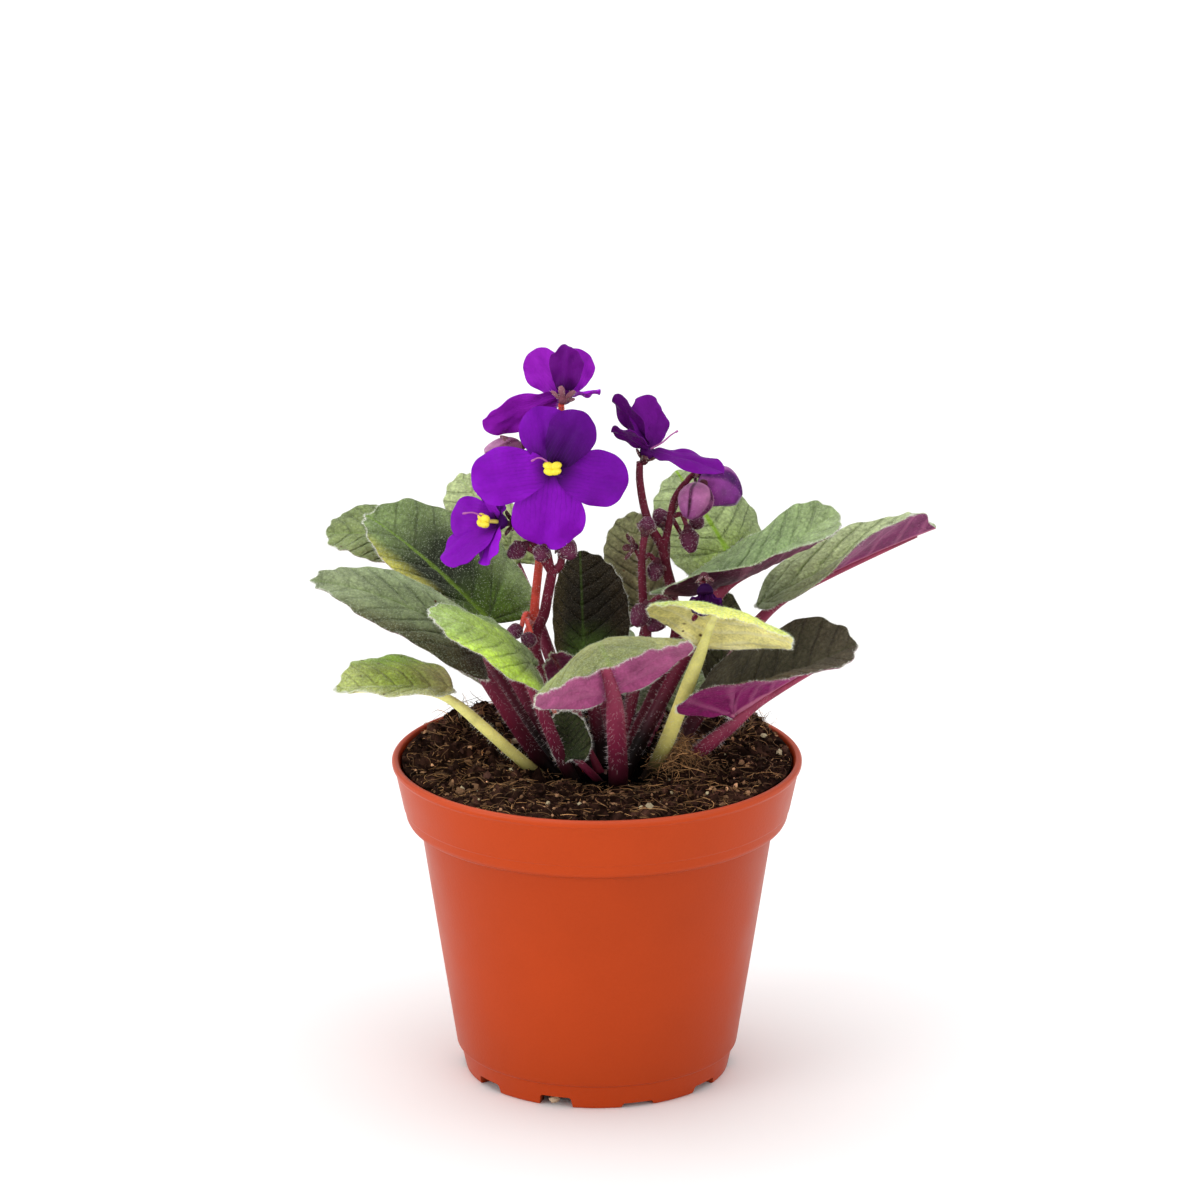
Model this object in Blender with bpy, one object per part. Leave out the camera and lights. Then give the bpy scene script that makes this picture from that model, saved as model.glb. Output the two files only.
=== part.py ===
"""African violet in a 12 cm plastic nursery pot.

The pot carries a plug of soil. The plant's short crown stands in a hole in the soil, and leaves and
flower stalks radiate from the crown. Everything is in metres with +Z up. Places are given from the
pot's axis, on the surface that it stands on; the last step moves the whole plant so that the middle
of its footprint is the origin.
"""

import math

import bmesh
import bpy
import numpy as np

# ---- Driving dimensions -------------------------------------------------------------------------

GAP = 0.0003                 # clearance between pieces that touch

POT_HEIGHT = 0.0955
LIP_RADIUS = 0.060
POT_SIDES = 36
FOOT_RADIUS = 0.0388
FOOT_HEIGHT = 0.008
FOOT_TOP_RADIUS = 0.0402     # where the line of the wall meets the ground
WALL_SLOPE = 0.154
WALL_THICK = 0.0014
FLOOR_UNDER = 0.003          # the pot's floor is raised by this much inside its foot ring
FLOOR_TOP = 0.0046
NOTCH_COUNT = 10             # openings in the foot ring, evenly spaced
NOTCH_HALF_WIDTH = 0.0053
NOTCH_HEIGHT = 0.0024
DRAIN_COUNT = 8
DRAIN_RADIUS = 0.004
DRAIN_CIRCLE = 0.026

SOIL_LEVEL = 0.0895
SOIL_HEAPS = (               # where it stands, how wide and how high it is heaped
    (-0.042, 0.036, 0.014, 0.006),
    (0.044, 0.028, 0.013, 0.009),
    (0.027, -0.028, 0.009, 0.003),
    (-0.030, -0.030, 0.012, 0.002),
)
CRATER_DEPTH = 0.0125
CRATER_RADIUS = 0.0175
HOLE_RADIUS = 0.0073         # the plain hole that the crown's stub stands in
HOLE_DEPTH = 0.010

CROWN_CENTRE = np.array([0.003, 0.002, 0.077])
CROWN_RADIUS = 0.013
CROWN_SIDES = 16

BLADE_SIDES = 24             # points round a leaf's margin, two for each of its scallops
BLADE_RINGS = (0.55, 1.0)
SCALLOP = 0.015              # how far a scallop stands out, as a share of the blade
MIDRIB_THICK = 0.0024
MARGIN_THICK = 0.0009
SIDE_STATION = 0.42          # share of a blade's length where its left and right points stand
MARGIN_WAVE = 0.0005

PETAL_SIDES = 10
PETAL_RINGS = (0.55, 1.0)
PETAL_THICK = 0.0008
CUP_HALF = 0.0016            # half the height of a calyx's cup
SEPAL_THICK = 0.0008

# ---- The leaves ---------------------------------------------------------------------------------
# Each leaf: where blade and stalk join, the blade's tip, its left and right margin points seen from
# the stalk, droop and left and right curl and twist in degrees, how far the lobes reach back as a
# share of the length, the bow of its stalk, the stalk's radius, and where on the crown the stalk
# starts (turn and rise in degrees).

LEAVES = {
    "01": dict(
        foot=(-0.0480, 0.0340, 0.1475), tip=(-0.0795, 0.0340, 0.1525), left=(-0.0625, 0.0200, 0.1485), right=(-0.0610, 0.0480, 0.1575),
        droop=35, curl=(-20, -20), twist=(0, 0), back=0.22, bow=(0.0000, 0.0000, 0.0000), radius=0.0021,
        base=(152, 30), finish="green", stalk_finish="maroon",
    ),
    "02": dict(
        foot=(-0.0320, 0.0090, 0.1335), tip=(-0.0675, 0.0240, 0.1615), left=(-0.0540, 0.0060, 0.1435), right=(-0.0310, 0.0280, 0.1540),
        droop=25, curl=(-15, -25), twist=(0, 0), back=0.24, bow=(0.0000, 0.0000, 0.0000), radius=0.0022,
        base=(182, 50), finish="green", stalk_finish="maroon",
    ),
    "03": dict(
        foot=(-0.0365, -0.0080, 0.1300), tip=(-0.0820, -0.0120, 0.1525), left=(-0.0560, -0.0240, 0.1390), right=(-0.0555, 0.0000, 0.1505),
        droop=45, curl=(-30, -30), twist=(0, 0), back=0.22, bow=(0.0000, 0.0000, 0.0000), radius=0.0023,
        base=(175, 30), finish="green", stalk_finish="maroon",
    ),
    "04": dict(
        foot=(-0.0210, -0.0220, 0.1315), tip=(-0.0475, -0.0320, 0.1480), left=(-0.0345, -0.0420, 0.1390), right=(-0.0305, -0.0140, 0.1405),
        droop=35, curl=(-30, -30), twist=(0, 0), back=0.36, bow=(0.0000, 0.0000, 0.0000), radius=0.0020,
        base=(232, 34), finish="lime", stalk_finish="maroon",
    ),
    "05": dict(
        foot=(-0.0430, -0.0140, 0.1195), tip=(-0.0755, -0.0200, 0.1225), left=(-0.0605, -0.0300, 0.1230), right=(-0.0585, 0.0060, 0.1240),
        droop=45, curl=(-30, -10), twist=(0, 0), back=0.16, bow=(0.0000, 0.0000, 0.0000), radius=0.0018,
        base=(202, 28), finish="lime", stalk_finish="yellow",
    ),
    "06": dict(
        foot=(0.0045, -0.0240, 0.1230), tip=(0.0035, -0.0640, 0.1435), left=(0.0265, -0.0460, 0.1465), right=(-0.0180, -0.0500, 0.1295),
        droop=100, curl=(-20, -20), twist=(0, 0), back=0.10, bow=(0.0000, 0.0000, 0.0000), radius=0.0024,
        base=(285, 32), finish="green", stalk_finish="maroon",
    ),
    "07": dict(
        foot=(0.0305, -0.0160, 0.1365), tip=(0.0355, -0.0500, 0.1535), left=(0.0560, -0.0380, 0.1445), right=(0.0150, -0.0340, 0.1515),
        droop=70, curl=(-20, -20), twist=(0, 0), back=0.06, bow=(0.0000, 0.0000, 0.0000), radius=0.0023,
        base=(322, 34), finish="lime", stalk_finish="yellow",
    ),
    "08": dict(
        foot=(0.0395, -0.0140, 0.1125), tip=(0.0750, -0.0140, 0.1335), left=(0.0595, 0.0040, 0.1385), right=(0.0530, -0.0340, 0.1315),
        droop=10, curl=(-20, -20), twist=(10, 60), back=0.45, bow=(0.0000, 0.0000, 0.0000), radius=0.0023,
        base=(346, 33), finish="dark", stalk_finish="maroon",
    ),
    "09": dict(
        foot=(0.0370, 0.0020, 0.1455), tip=(0.0700, 0.0060, 0.1665), left=(0.0500, 0.0200, 0.1600), right=(0.0485, -0.0160, 0.1595),
        droop=-35, curl=(-20, -20), twist=(0, 30), back=0.60, bow=(0.0000, 0.0000, 0.0000), radius=0.0022,
        base=(312, 62), finish="green", stalk_finish="maroon",
    ),
    "10": dict(
        foot=(0.0530, 0.0120, 0.1405), tip=(0.0980, 0.0160, 0.1600), left=(0.0740, 0.0270, 0.1550), right=(0.0730, -0.0060, 0.1565),
        droop=20, curl=(-20, -20), twist=(0, -22), back=0.22, bow=(0.0000, 0.0050, 0.0000), radius=0.0022,
        base=(10, 32), finish="green", stalk_finish="maroon",
    ),
    "11": dict(
        foot=(-0.0235, 0.0320, 0.1455), tip=(-0.0410, 0.0470, 0.1670), left=(-0.0470, 0.0380, 0.1575), right=(-0.0290, 0.0470, 0.1655),
        droop=25, curl=(-20, -20), twist=(0, 0), back=0.25, bow=(0.0000, 0.0000, 0.0000), radius=0.0020,
        base=(120, 50), finish="green", stalk_finish="maroon",
    ),
    "12": dict(
        foot=(-0.0040, 0.0120, 0.1225), tip=(-0.0050, 0.0300, 0.1485), left=(-0.0130, 0.0220, 0.1325), right=(0.0095, 0.0220, 0.1325),
        droop=15, curl=(-25, -25), twist=(0, 0), back=0.25, bow=(0.0000, 0.0000, 0.0000), radius=0.0020,
        base=(98, 64), finish="dark", stalk_finish="maroon",
    ),
    "13": dict(
        foot=(0.0155, 0.0280, 0.1310), tip=(0.0105, 0.0440, 0.1565), left=(0.0010, 0.0380, 0.1440), right=(0.0210, 0.0380, 0.1450),
        droop=15, curl=(-20, -20), twist=(0, 0), back=0.25, bow=(0.0000, 0.0000, 0.0000), radius=0.0020,
        base=(77, 34), finish="dark", stalk_finish="maroon",
    ),
    "14": dict(
        foot=(0.0385, 0.0280, 0.1490), tip=(0.0235, 0.0460, 0.1685), left=(0.0120, 0.0400, 0.1595), right=(0.0490, 0.0400, 0.1535),
        droop=20, curl=(-20, -20), twist=(0, 0), back=0.25, bow=(0.0000, 0.0000, 0.0000), radius=0.0020,
        base=(42, 58), finish="green", stalk_finish="maroon",
    ),
    "15": dict(
        foot=(0.0375, 0.0160, 0.1135), tip=(0.0350, 0.0340, 0.1365), left=(0.0295, 0.0280, 0.1235), right=(0.0445, 0.0260, 0.1245),
        droop=15, curl=(-20, -20), twist=(0, 0), back=0.12, bow=(0.0000, 0.0000, 0.0000), radius=0.0019,
        base=(33, 32), finish="dark", stalk_finish="maroon",
    ),
    "16": dict(
        foot=(-0.0035, -0.0140, 0.0995), tip=(-0.0060, -0.0110, 0.1110), left=(-0.0100, -0.0120, 0.1055), right=(0.0015, -0.0120, 0.1060),
        droop=10, curl=(-20, -20), twist=(0, 0), back=0.20, bow=(0.0000, 0.0000, 0.0000), radius=0.0012,
        base=(268, 50), finish="dark", stalk_finish="maroon",
    ),
    "17": dict(
        foot=(-0.0070, -0.0050, 0.1160), tip=(-0.0135, -0.0220, 0.1340), left=(-0.0025, -0.0200, 0.1310), right=(-0.0165, -0.0240, 0.1300),
        droop=40, curl=(-20, -20), twist=(0, 0), back=0.05, bow=(0.0000, 0.0000, 0.0000), radius=0.0015,
        base=(218, 62), finish="green", stalk_finish="maroon",
    ),
    "18": dict(
        foot=(-0.0275, 0.0340, 0.1070), tip=(-0.0475, 0.0620, 0.1115), left=(-0.0430, 0.0300, 0.1145), right=(-0.0295, 0.0660, 0.1140),
        droop=40, curl=(-20, -20), twist=(0, 0), back=0.25, bow=(0.0000, 0.0000, 0.0000), radius=0.0020,
        base=(131, 33), finish="green", stalk_finish="maroon",
    ),
    "19": dict(
        foot=(0.0190, 0.0340, 0.1015), tip=(0.0325, 0.0660, 0.1095), left=(0.0190, 0.0700, 0.1090), right=(0.0370, 0.0440, 0.1070),
        droop=40, curl=(-20, -20), twist=(0, 0), back=0.25, bow=(0.0000, 0.0000, 0.0000), radius=0.0020,
        base=(55, 38), finish="green", stalk_finish="maroon",
    ),
    "20": dict(
        foot=(0.0020, 0.0320, 0.1085), tip=(0.0020, 0.0660, 0.1180), left=(-0.0080, 0.0520, 0.1130), right=(0.0125, 0.0520, 0.1130),
        droop=40, curl=(-20, -20), twist=(0, 0), back=0.25, bow=(0.0000, 0.0000, 0.0000), radius=0.0020,
        base=(102, 34), finish="green", stalk_finish="maroon",
    ),
}

# ---- The flowers --------------------------------------------------------------------------------
# Each bloom: the middle of its throat, the way it faces, and for each petal its tip, width, roll and
# curl. Each stalk: where it leaves the crown, its branches as end radii and the points that they
# pass, its closed buds as base, tip and radius, and its calyxes as base, direction, spread and reach.

BLOOMS = {
    "front": dict(
        centre=(-0.0126, -0.0130, 0.1864), facing=(-0.05, -0.97, 0.22), anthers=0.0026,
        petals=(
            ((-0.0162, -0.0090, 0.2034), 0.0135, 0, -14),
            ((-0.0034, -0.0080, 0.1996), 0.0145, 0, -14),
            ((-0.0356, -0.0090, 0.1820), 0.0180, 0, -14),
            ((0.0086, -0.0090, 0.1808), 0.0190, 0, -14),
            ((-0.0148, -0.0170, 0.1640), 0.0200, 0, -14),
        ),
    ),
    "top": dict(
        centre=(-0.0094, 0.0030, 0.2034), facing=(0.15, 0.9, 0.35), anthers=0.0000,
        petals=(
            ((-0.0192, 0.0060, 0.2152), 0.0150, 0, -14),
            ((-0.0080, 0.0100, 0.2162), 0.0090, 0, -30),
            ((-0.0026, 0.0040, 0.2160), 0.0090, 30, -14),
            ((0.0012, 0.0080, 0.2028), 0.0090, 60, -14),
            ((-0.0316, -0.0010, 0.1954), 0.0150, 0, -14),
        ),
    ),
    "left": dict(
        centre=(-0.0282, -0.0080, 0.1690), facing=(-0.85, -0.5, 0.2), anthers=0.0052,
        petals=(
            ((-0.0406, -0.0040, 0.1720), 0.0130, 0, -14),
            ((-0.0434, -0.0110, 0.1578), 0.0090, 0, -14),
            ((-0.0308, -0.0130, 0.1578), 0.0090, 0, -14),
            ((-0.0334, -0.0030, 0.1750), 0.0060, 0, -14),
            ((-0.0288, -0.0050, 0.1740), 0.0050, 0, -14),
        ),
    ),
    "right": dict(
        centre=(0.0138, 0.0030, 0.1874), facing=(0.35, -0.2, 0.9), anthers=0.0000,
        petals=(
            ((0.0058, 0.0040, 0.2032), 0.0080, 30, -14),
            ((0.0058, -0.0040, 0.1950), 0.0080, 0, -14),
            ((0.0154, 0.0090, 0.2016), 0.0110, 0, -14),
            ((0.0348, -0.0020, 0.1840), 0.0130, 20, -14),
            ((0.0270, 0.0140, 0.1846), 0.0120, 0, -14),
        ),
    ),
    "shaded": dict(
        centre=(0.0310, -0.0200, 0.1514), facing=(0.05, -0.45, -0.9), anthers=0.0000,
        petals=(
            ((0.0278, -0.0200, 0.1472), 0.0060, 0, -14),
            ((0.0312, -0.0230, 0.1464), 0.0070, 0, -14),
            ((0.0344, -0.0200, 0.1472), 0.0060, 0, -14),
            ((0.0328, -0.0164, 0.1468), 0.0060, 0, -14),
            ((0.0294, -0.0164, 0.1468), 0.0060, 0, -14),
        ),
    ),
}

FLOWER_STALKS = {
    "left": dict(
        base=(195, 80), finish="maroon",
        branches=(
            ((0.0017, 0.0015), (
                (-0.0172, -0.0020, 0.1254), (-0.0150, -0.0040, 0.1412), (-0.0130, -0.0060, 0.1530),
            )),
            ((0.0012, 0.0008), (
                (-0.0130, -0.0060, 0.1530), (-0.0164, -0.0070, 0.1584), (-0.0210, -0.0060, 0.1612),
            )),
            ((0.0010, 0.0008), (
                (-0.0156, -0.0070, 0.1578), (-0.0198, -0.0050, 0.1636), (-0.0246, -0.0060, 0.1680),
            )),
            ((0.0011, 0.0008), (
                (-0.0130, -0.0060, 0.1530), (-0.0138, -0.0070, 0.1578), (-0.0150, -0.0080, 0.1616),
            )),
            ((0.0013, 0.0010), (
                (-0.0130, -0.0060, 0.1530), (-0.0104, -0.0060, 0.1560), (-0.0104, -0.0060, 0.1630),
            )),
            ((0.0010, 0.0009), (
                (-0.0104, -0.0060, 0.1582), (-0.0106, -0.0030, 0.1680), (-0.0124, -0.0090, 0.1856),
            )),
        ),
        buds=(
            ((-0.0210, -0.0060, 0.1612), (-0.0256, -0.0080, 0.1586), 0.0024),
            ((-0.0150, -0.0080, 0.1614), (-0.0170, -0.0100, 0.1578), 0.0024),
            ((-0.0104, -0.0060, 0.1626), (-0.0066, -0.0090, 0.1584), 0.0029),
        ),
        calyxes=(
            ((-0.0124, -0.0090, 0.1856), (-0.05, -0.97, 0.22), 0.0032, 0.0004),
            ((-0.0246, -0.0060, 0.1680), (-0.84, -0.5, 0.2), 0.0034, 0.0012),
            ((-0.0210, -0.0060, 0.1612), (-1, 0, -0.5), 0.0026, 0.0018),
            ((-0.0150, -0.0080, 0.1614), (-0.4, -0.3, -1), 0.0026, 0.0018),
            ((-0.0104, -0.0060, 0.1626), (0.7, -0.3, -1), 0.0030, 0.0020),
        ),
    ),
    "coral": dict(
        base=(170, 66), finish="coral",
        branches=(
            ((0.0016, 0.0009), (
                (-0.0190, 0.0030, 0.1254), (-0.0184, 0.0040, 0.1364), (-0.0168, 0.0030, 0.1530),
                (-0.0142, 0.0050, 0.1718), (-0.0106, 0.0040, 0.1930), (-0.0102, -0.0008, 0.2020),
            )),
            ((0.0008, 0.0007), (
                (-0.0136, 0.0050, 0.1762), (-0.0170, 0.0040, 0.1834), (-0.0194, 0.0008, 0.1896),
            )),
            ((0.0008, 0.0007), (
                (-0.0184, 0.0040, 0.1356), (-0.0206, 0.0000, 0.1388), (-0.0220, -0.0060, 0.1364),
            )),
            ((0.0008, 0.0007), (
                (-0.0186, 0.0040, 0.1342), (-0.0202, -0.0030, 0.1376), (-0.0190, -0.0090, 0.1354),
            )),
        ),
        buds=(
            ((-0.0220, -0.0060, 0.1364), (-0.0260, -0.0080, 0.1346), 0.0022),
            ((-0.0190, -0.0090, 0.1354), (-0.0208, -0.0120, 0.1324), 0.0022),
        ),
        calyxes=(
            ((-0.0102, -0.0008, 0.2020), (0.15, 0.92, 0.36), 0.0038, 0.0008),
            ((-0.0194, 0.0008, 0.1896), (-0.95, -0.29, -0.09), 0.0032, 0.0020),
        ),
    ),
    "right": dict(
        base=(350, 78), finish="maroon",
        branches=(
            ((0.0018, 0.0010), (
                (0.0220, 0.0060, 0.1260), (0.0222, 0.0060, 0.1412), (0.0202, 0.0060, 0.1510),
                (0.0190, 0.0060, 0.1572), (0.0156, 0.0050, 0.1636), (0.0136, 0.0050, 0.1700),
                (0.0124, 0.0040, 0.1780), (0.0124, 0.0038, 0.1836),
            )),
            ((0.0012, 0.0008), (
                (0.0192, 0.0060, 0.1554), (0.0212, 0.0060, 0.1658), (0.0224, 0.0050, 0.1718),
                (0.0244, 0.0046, 0.1756), (0.0262, 0.0052, 0.1776),
            )),
            ((0.0008, 0.0007), (
                (0.0216, 0.0060, 0.1664), (0.0246, 0.0060, 0.1670), (0.0264, 0.0050, 0.1628),
            )),
            ((0.0009, 0.0008), (
                (0.0216, 0.0060, 0.1672), (0.0260, 0.0120, 0.1752), (0.0292, 0.0130, 0.1780),
            )),
            ((0.0008, 0.0007), (
                (0.0204, 0.0060, 0.1516), (0.0206, 0.0090, 0.1586), (0.0198, 0.0090, 0.1628),
            )),
            ((0.0007, 0.0006), (
                (0.0216, 0.0060, 0.1664), (0.0260, 0.0110, 0.1580), (0.0282, 0.0120, 0.1612),
            )),
            ((0.0009, 0.0008), (
                (0.0218, 0.0060, 0.1424), (0.0252, -0.0100, 0.1424), (0.0284, -0.0180, 0.1518),
                (0.0308, -0.0182, 0.1552),
            )),
            ((0.0008, 0.0007), (
                (0.0222, 0.0060, 0.1394), (0.0184, -0.0010, 0.1442), (0.0142, -0.0060, 0.1430),
            )),
            ((0.0008, 0.0007), (
                (0.0222, 0.0060, 0.1376), (0.0218, 0.0000, 0.1414), (0.0194, -0.0030, 0.1394),
            )),
        ),
        buds=(
            ((0.0264, 0.0050, 0.1628), (0.0276, 0.0030, 0.1564), 0.0026),
            ((0.0198, 0.0090, 0.1628), (0.0174, 0.0100, 0.1676), 0.0026),
            ((0.0282, 0.0120, 0.1612), (0.0300, 0.0130, 0.1652), 0.0022),
            ((0.0142, -0.0060, 0.1430), (0.0108, -0.0080, 0.1376), 0.0030),
            ((0.0194, -0.0030, 0.1394), (0.0152, -0.0050, 0.1354), 0.0026),
        ),
        calyxes=(
            ((0.0124, 0.0038, 0.1836), (0.35, -0.2, 0.91), 0.0038, 0.0010),
            ((0.0262, 0.0052, 0.1776), (0.29, -0.45, -0.85), 0.0032, 0.0020),
            ((0.0292, 0.0130, 0.1780), (0.81, -0.36, -0.47), 0.0030, 0.0014),
            ((0.0308, -0.0182, 0.1552), (0.05, -0.45, -0.89), 0.0026, 0.0010),
            ((0.0264, 0.0050, 0.1628), (0.1, 0, -1), 0.0028, 0.0020),
            ((0.0142, -0.0060, 0.1430), (-0.4, -0.2, -1), 0.0030, 0.0020),
            ((0.0198, 0.0090, 0.1628), (-0.3, 0, 1), 0.0028, 0.0020),
        ),
    ),
    "middle": dict(
        base=(290, 76), finish="maroon",
        branches=(
            ((0.0015, 0.0010), (
                (0.0140, -0.0010, 0.1282), (0.0134, 0.0000, 0.1430), (0.0130, 0.0000, 0.1558),
                (0.0140, 0.0010, 0.1630),
            )),
            ((0.0008, 0.0007), (
                (0.0130, 0.0000, 0.1552), (0.0152, 0.0020, 0.1560), (0.0172, 0.0030, 0.1534),
            )),
            ((0.0007, 0.0006), (
                (0.0130, 0.0000, 0.1546), (0.0116, 0.0010, 0.1572), (0.0108, 0.0014, 0.1582),
            )),
        ),
        buds=(
            ((0.0172, 0.0030, 0.1534), (0.0166, 0.0020, 0.1482), 0.0024),
            ((0.0140, 0.0010, 0.1630), (0.0150, 0.0020, 0.1676), 0.0024),
        ),
        calyxes=(
            ((0.0104, 0.0016, 0.1586), (-1, -0.3, 0.2), 0.0036, 0.0016),
            ((0.0140, 0.0010, 0.1630), (0.2, 0, 1), 0.0028, 0.0020),
            ((0.0172, 0.0030, 0.1534), (0, 0, -1), 0.0026, 0.0020),
        ),
    ),
}

COLOURED_BUDS = {
    "pink": ((-0.0222, 0.0000, 0.1894), (-0.0322, -0.0030, 0.1884), 0.0031),
    "mauve": ((0.0270, 0.0040, 0.1754), (0.0296, 0.0000, 0.1678), 0.0039),
    "purple": ((0.0314, 0.0120, 0.1768), (0.0404, 0.0080, 0.1716), 0.0050),
}


def unit(vector):
    return vector / np.linalg.norm(vector)


# ---- Scene and mesh helpers ---------------------------------------------------------------------

def clear_scene():
    for found in list(bpy.data.objects):
        bpy.data.objects.remove(found)


def material(name, colour, roughness):
    made = bpy.data.materials.new(name)
    made.use_nodes = True
    shader = made.node_tree.nodes["Principled BSDF"]
    shader.inputs["Base Color"].default_value = (*colour, 1.0)
    shader.inputs["Roughness"].default_value = roughness
    shader.inputs["Metallic"].default_value = 0.0
    return made


def mesh_object(name, vertices, faces, finish):
    """A new object whose faces are turned outwards."""
    mesh = bpy.data.meshes.new(name)
    mesh.from_pydata([tuple(v) for v in vertices], [], faces)
    tool = bmesh.new()
    tool.from_mesh(mesh)
    bmesh.ops.recalc_face_normals(tool, faces=tool.faces)
    tool.to_mesh(mesh)
    tool.free()
    mesh.materials.append(finish)
    mesh.shade_smooth()
    mesh.set_sharp_from_angle(angle=math.radians(40))
    made = bpy.data.objects.new(name, mesh)
    bpy.context.scene.collection.objects.link(made)
    return made


def ring_faces(rings, around):
    """Quads between successive rings of points, each ring closed on itself."""
    faces = []
    for ring in range(rings - 1):
        for i in range(around):
            j = (i + 1) % around
            a, b = ring * around, (ring + 1) * around
            faces.append((a + i, a + j, b + j, b + i))
    return faces


def turned(profile, sides, centre=(0.0, 0.0)):
    """Points and faces of a profile of (radius, height) turned about a vertical axis, closed at both ends."""
    angles = np.linspace(0, 2 * math.pi, sides, endpoint=False)
    rings = [
        np.column_stack([
            centre[0] + radius * np.cos(angles),
            centre[1] + radius * np.sin(angles),
            np.full(sides, height),
        ])
        for radius, height in profile
    ]
    return closed_rings(rings)


def closed_rings(rings):
    """One closed surface through equal rings of points, with a fan over each end."""
    sides = len(rings[0])
    points = np.vstack([*rings, rings[0].mean(axis=0), rings[-1].mean(axis=0)])
    start, end = len(points) - 2, len(points) - 1
    last = (len(rings) - 1) * sides
    faces = ring_faces(len(rings), sides)
    for i in range(sides):
        j = (i + 1) % sides
        faces.append((start, j, i))
        faces.append((end, last + i, last + j))
    return points, faces


def fused(name, pieces):
    """One body from overlapping pieces, by a Boolean union on a collection."""
    others = bpy.data.collections.new(name + "_pieces")
    for piece in pieces[1:]:
        others.objects.link(piece)
    first = pieces[0]
    union = first.modifiers.new("union", "BOOLEAN")
    union.operation = "UNION"
    union.operand_type = "COLLECTION"
    union.collection = others
    union.solver = "EXACT"
    graph = bpy.context.evaluated_depsgraph_get()
    mesh = bpy.data.meshes.new_from_object(first.evaluated_get(graph))
    first.modifiers.clear()
    first.data = mesh
    first.name = name
    mesh.name = name
    for piece in pieces[1:]:
        bpy.data.objects.remove(piece)
    bpy.data.collections.remove(others)
    return first


# ---- Tubes --------------------------------------------------------------------------------------

def curve_points(controls, count):
    """A Bezier curve of any degree, by repeated halving of its control polygon."""
    share = np.linspace(0, 1, count)[:, None, None]
    level = np.repeat(np.asarray(controls, float)[None], count, axis=0)
    while level.shape[1] > 1:
        level = level[:, :-1] * (1 - share) + level[:, 1:] * share
    return level[:, 0]


def tube(path, radii, sides):
    """Points and faces of a closed tube along a path, its rings turned as little as possible."""
    tangents = np.gradient(path, axis=0)
    tangents /= np.linalg.norm(tangents, axis=1)[:, None]
    side = unit(np.cross(tangents[0], (0.31, 0.83, 0.46)))
    angles = np.linspace(0, 2 * math.pi, sides, endpoint=False)[:, None]
    rings = []
    for point, tangent, radius in zip(path, tangents, radii):
        side = unit(side - tangent * np.dot(side, tangent))
        up = np.cross(tangent, side)
        rings.append(point + radius * (np.cos(angles) * side + np.sin(angles) * up))
    return closed_rings(rings)


# ---- Pot and soil -------------------------------------------------------------------------------

def wall_radius(height):
    """Radius of the body's outer wall, which widens evenly from the foot to the band."""
    return FOOT_TOP_RADIUS + WALL_SLOPE * height


def pot_profile():
    """Down the middle of the floor's underside, out over the foot, up the wall and back down inside."""
    top = POT_HEIGHT
    band = top - 0.0185
    return [
        (0.0345, FLOOR_UNDER), (0.0352, 0.0), (FOOT_RADIUS, 0.0),
        (FOOT_RADIUS + 0.0017, FOOT_HEIGHT - 0.0006), (wall_radius(FOOT_HEIGHT), FOOT_HEIGHT),
        (wall_radius(0.040), 0.040), (wall_radius(band - 0.0014), band - 0.0014),
        (0.0541, band - 0.0009), (0.0557, band + 0.0006), (0.0593, top - 0.0025),
        (LIP_RADIUS, top - 0.0015), (LIP_RADIUS, top - 0.0005), (LIP_RADIUS - 0.0008, top), (0.0578, top - 0.0007),
        (0.0546, band + 0.0012), (wall_radius(band) - WALL_THICK, band - 0.0030),
        (wall_radius(0.040) - WALL_THICK, 0.040), (wall_radius(0.0065) - WALL_THICK, 0.0065), (0.0375, FLOOR_TOP),
    ]


def cutter(name, meshes):
    """Separate closed shapes as one hidden object."""
    points, faces = [], []
    for more_points, more_faces in meshes:
        faces += [tuple(i + len(points) for i in face) for face in more_faces]
        points += list(more_points)
    made = mesh_object(name, points, faces, None)
    made.hide_render = True
    made.display_type = "WIRE"
    return made


def notch_cutters():
    """Low arches through the foot ring."""
    made = []
    for i in range(NOTCH_COUNT):
        turn = 2 * math.pi * (i + 0.5) / NOTCH_COUNT - math.pi / 2
        out = np.array([math.cos(turn), math.sin(turn), 0.0])
        along = np.array([-math.sin(turn), math.cos(turn), 0.0])
        up = np.array([0.0, 0.0, 1.0])
        arch = [
            (-1.0, -1.0), (1.0, -1.0), (0.94, 0.55), (0.75, 1.0), (-0.75, 1.0), (-0.94, 0.55),
        ]
        rings = [
            np.array([
                out * reach + along * across * NOTCH_HALF_WIDTH + up * rise * NOTCH_HEIGHT
                for across, rise in arch
            ])
            for reach in (0.030, 0.044)
        ]
        made.append(closed_rings(rings))
    return made


def drain_cutters():
    """Holes through the floor: one in the middle and a circle of them."""
    places = [(0.0, 0.0)]
    for i in range(DRAIN_COUNT):
        turn = 2 * math.pi * i / DRAIN_COUNT
        places.append((DRAIN_CIRCLE * math.cos(turn), DRAIN_CIRCLE * math.sin(turn)))
    profile = [(DRAIN_RADIUS, FLOOR_UNDER - 0.001), (DRAIN_RADIUS, FLOOR_TOP + 0.001)]
    return [turned(profile, 10, place) for place in places]


def make_pot(finish):
    pot = mesh_object("pot", *turned(pot_profile(), POT_SIDES), finish)
    cut = pot.modifiers.new("openings", "BOOLEAN")
    cut.operation = "DIFFERENCE"
    cut.object = cutter("pot_openings", notch_cutters() + drain_cutters())
    cut.solver = "EXACT"
    return pot


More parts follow.
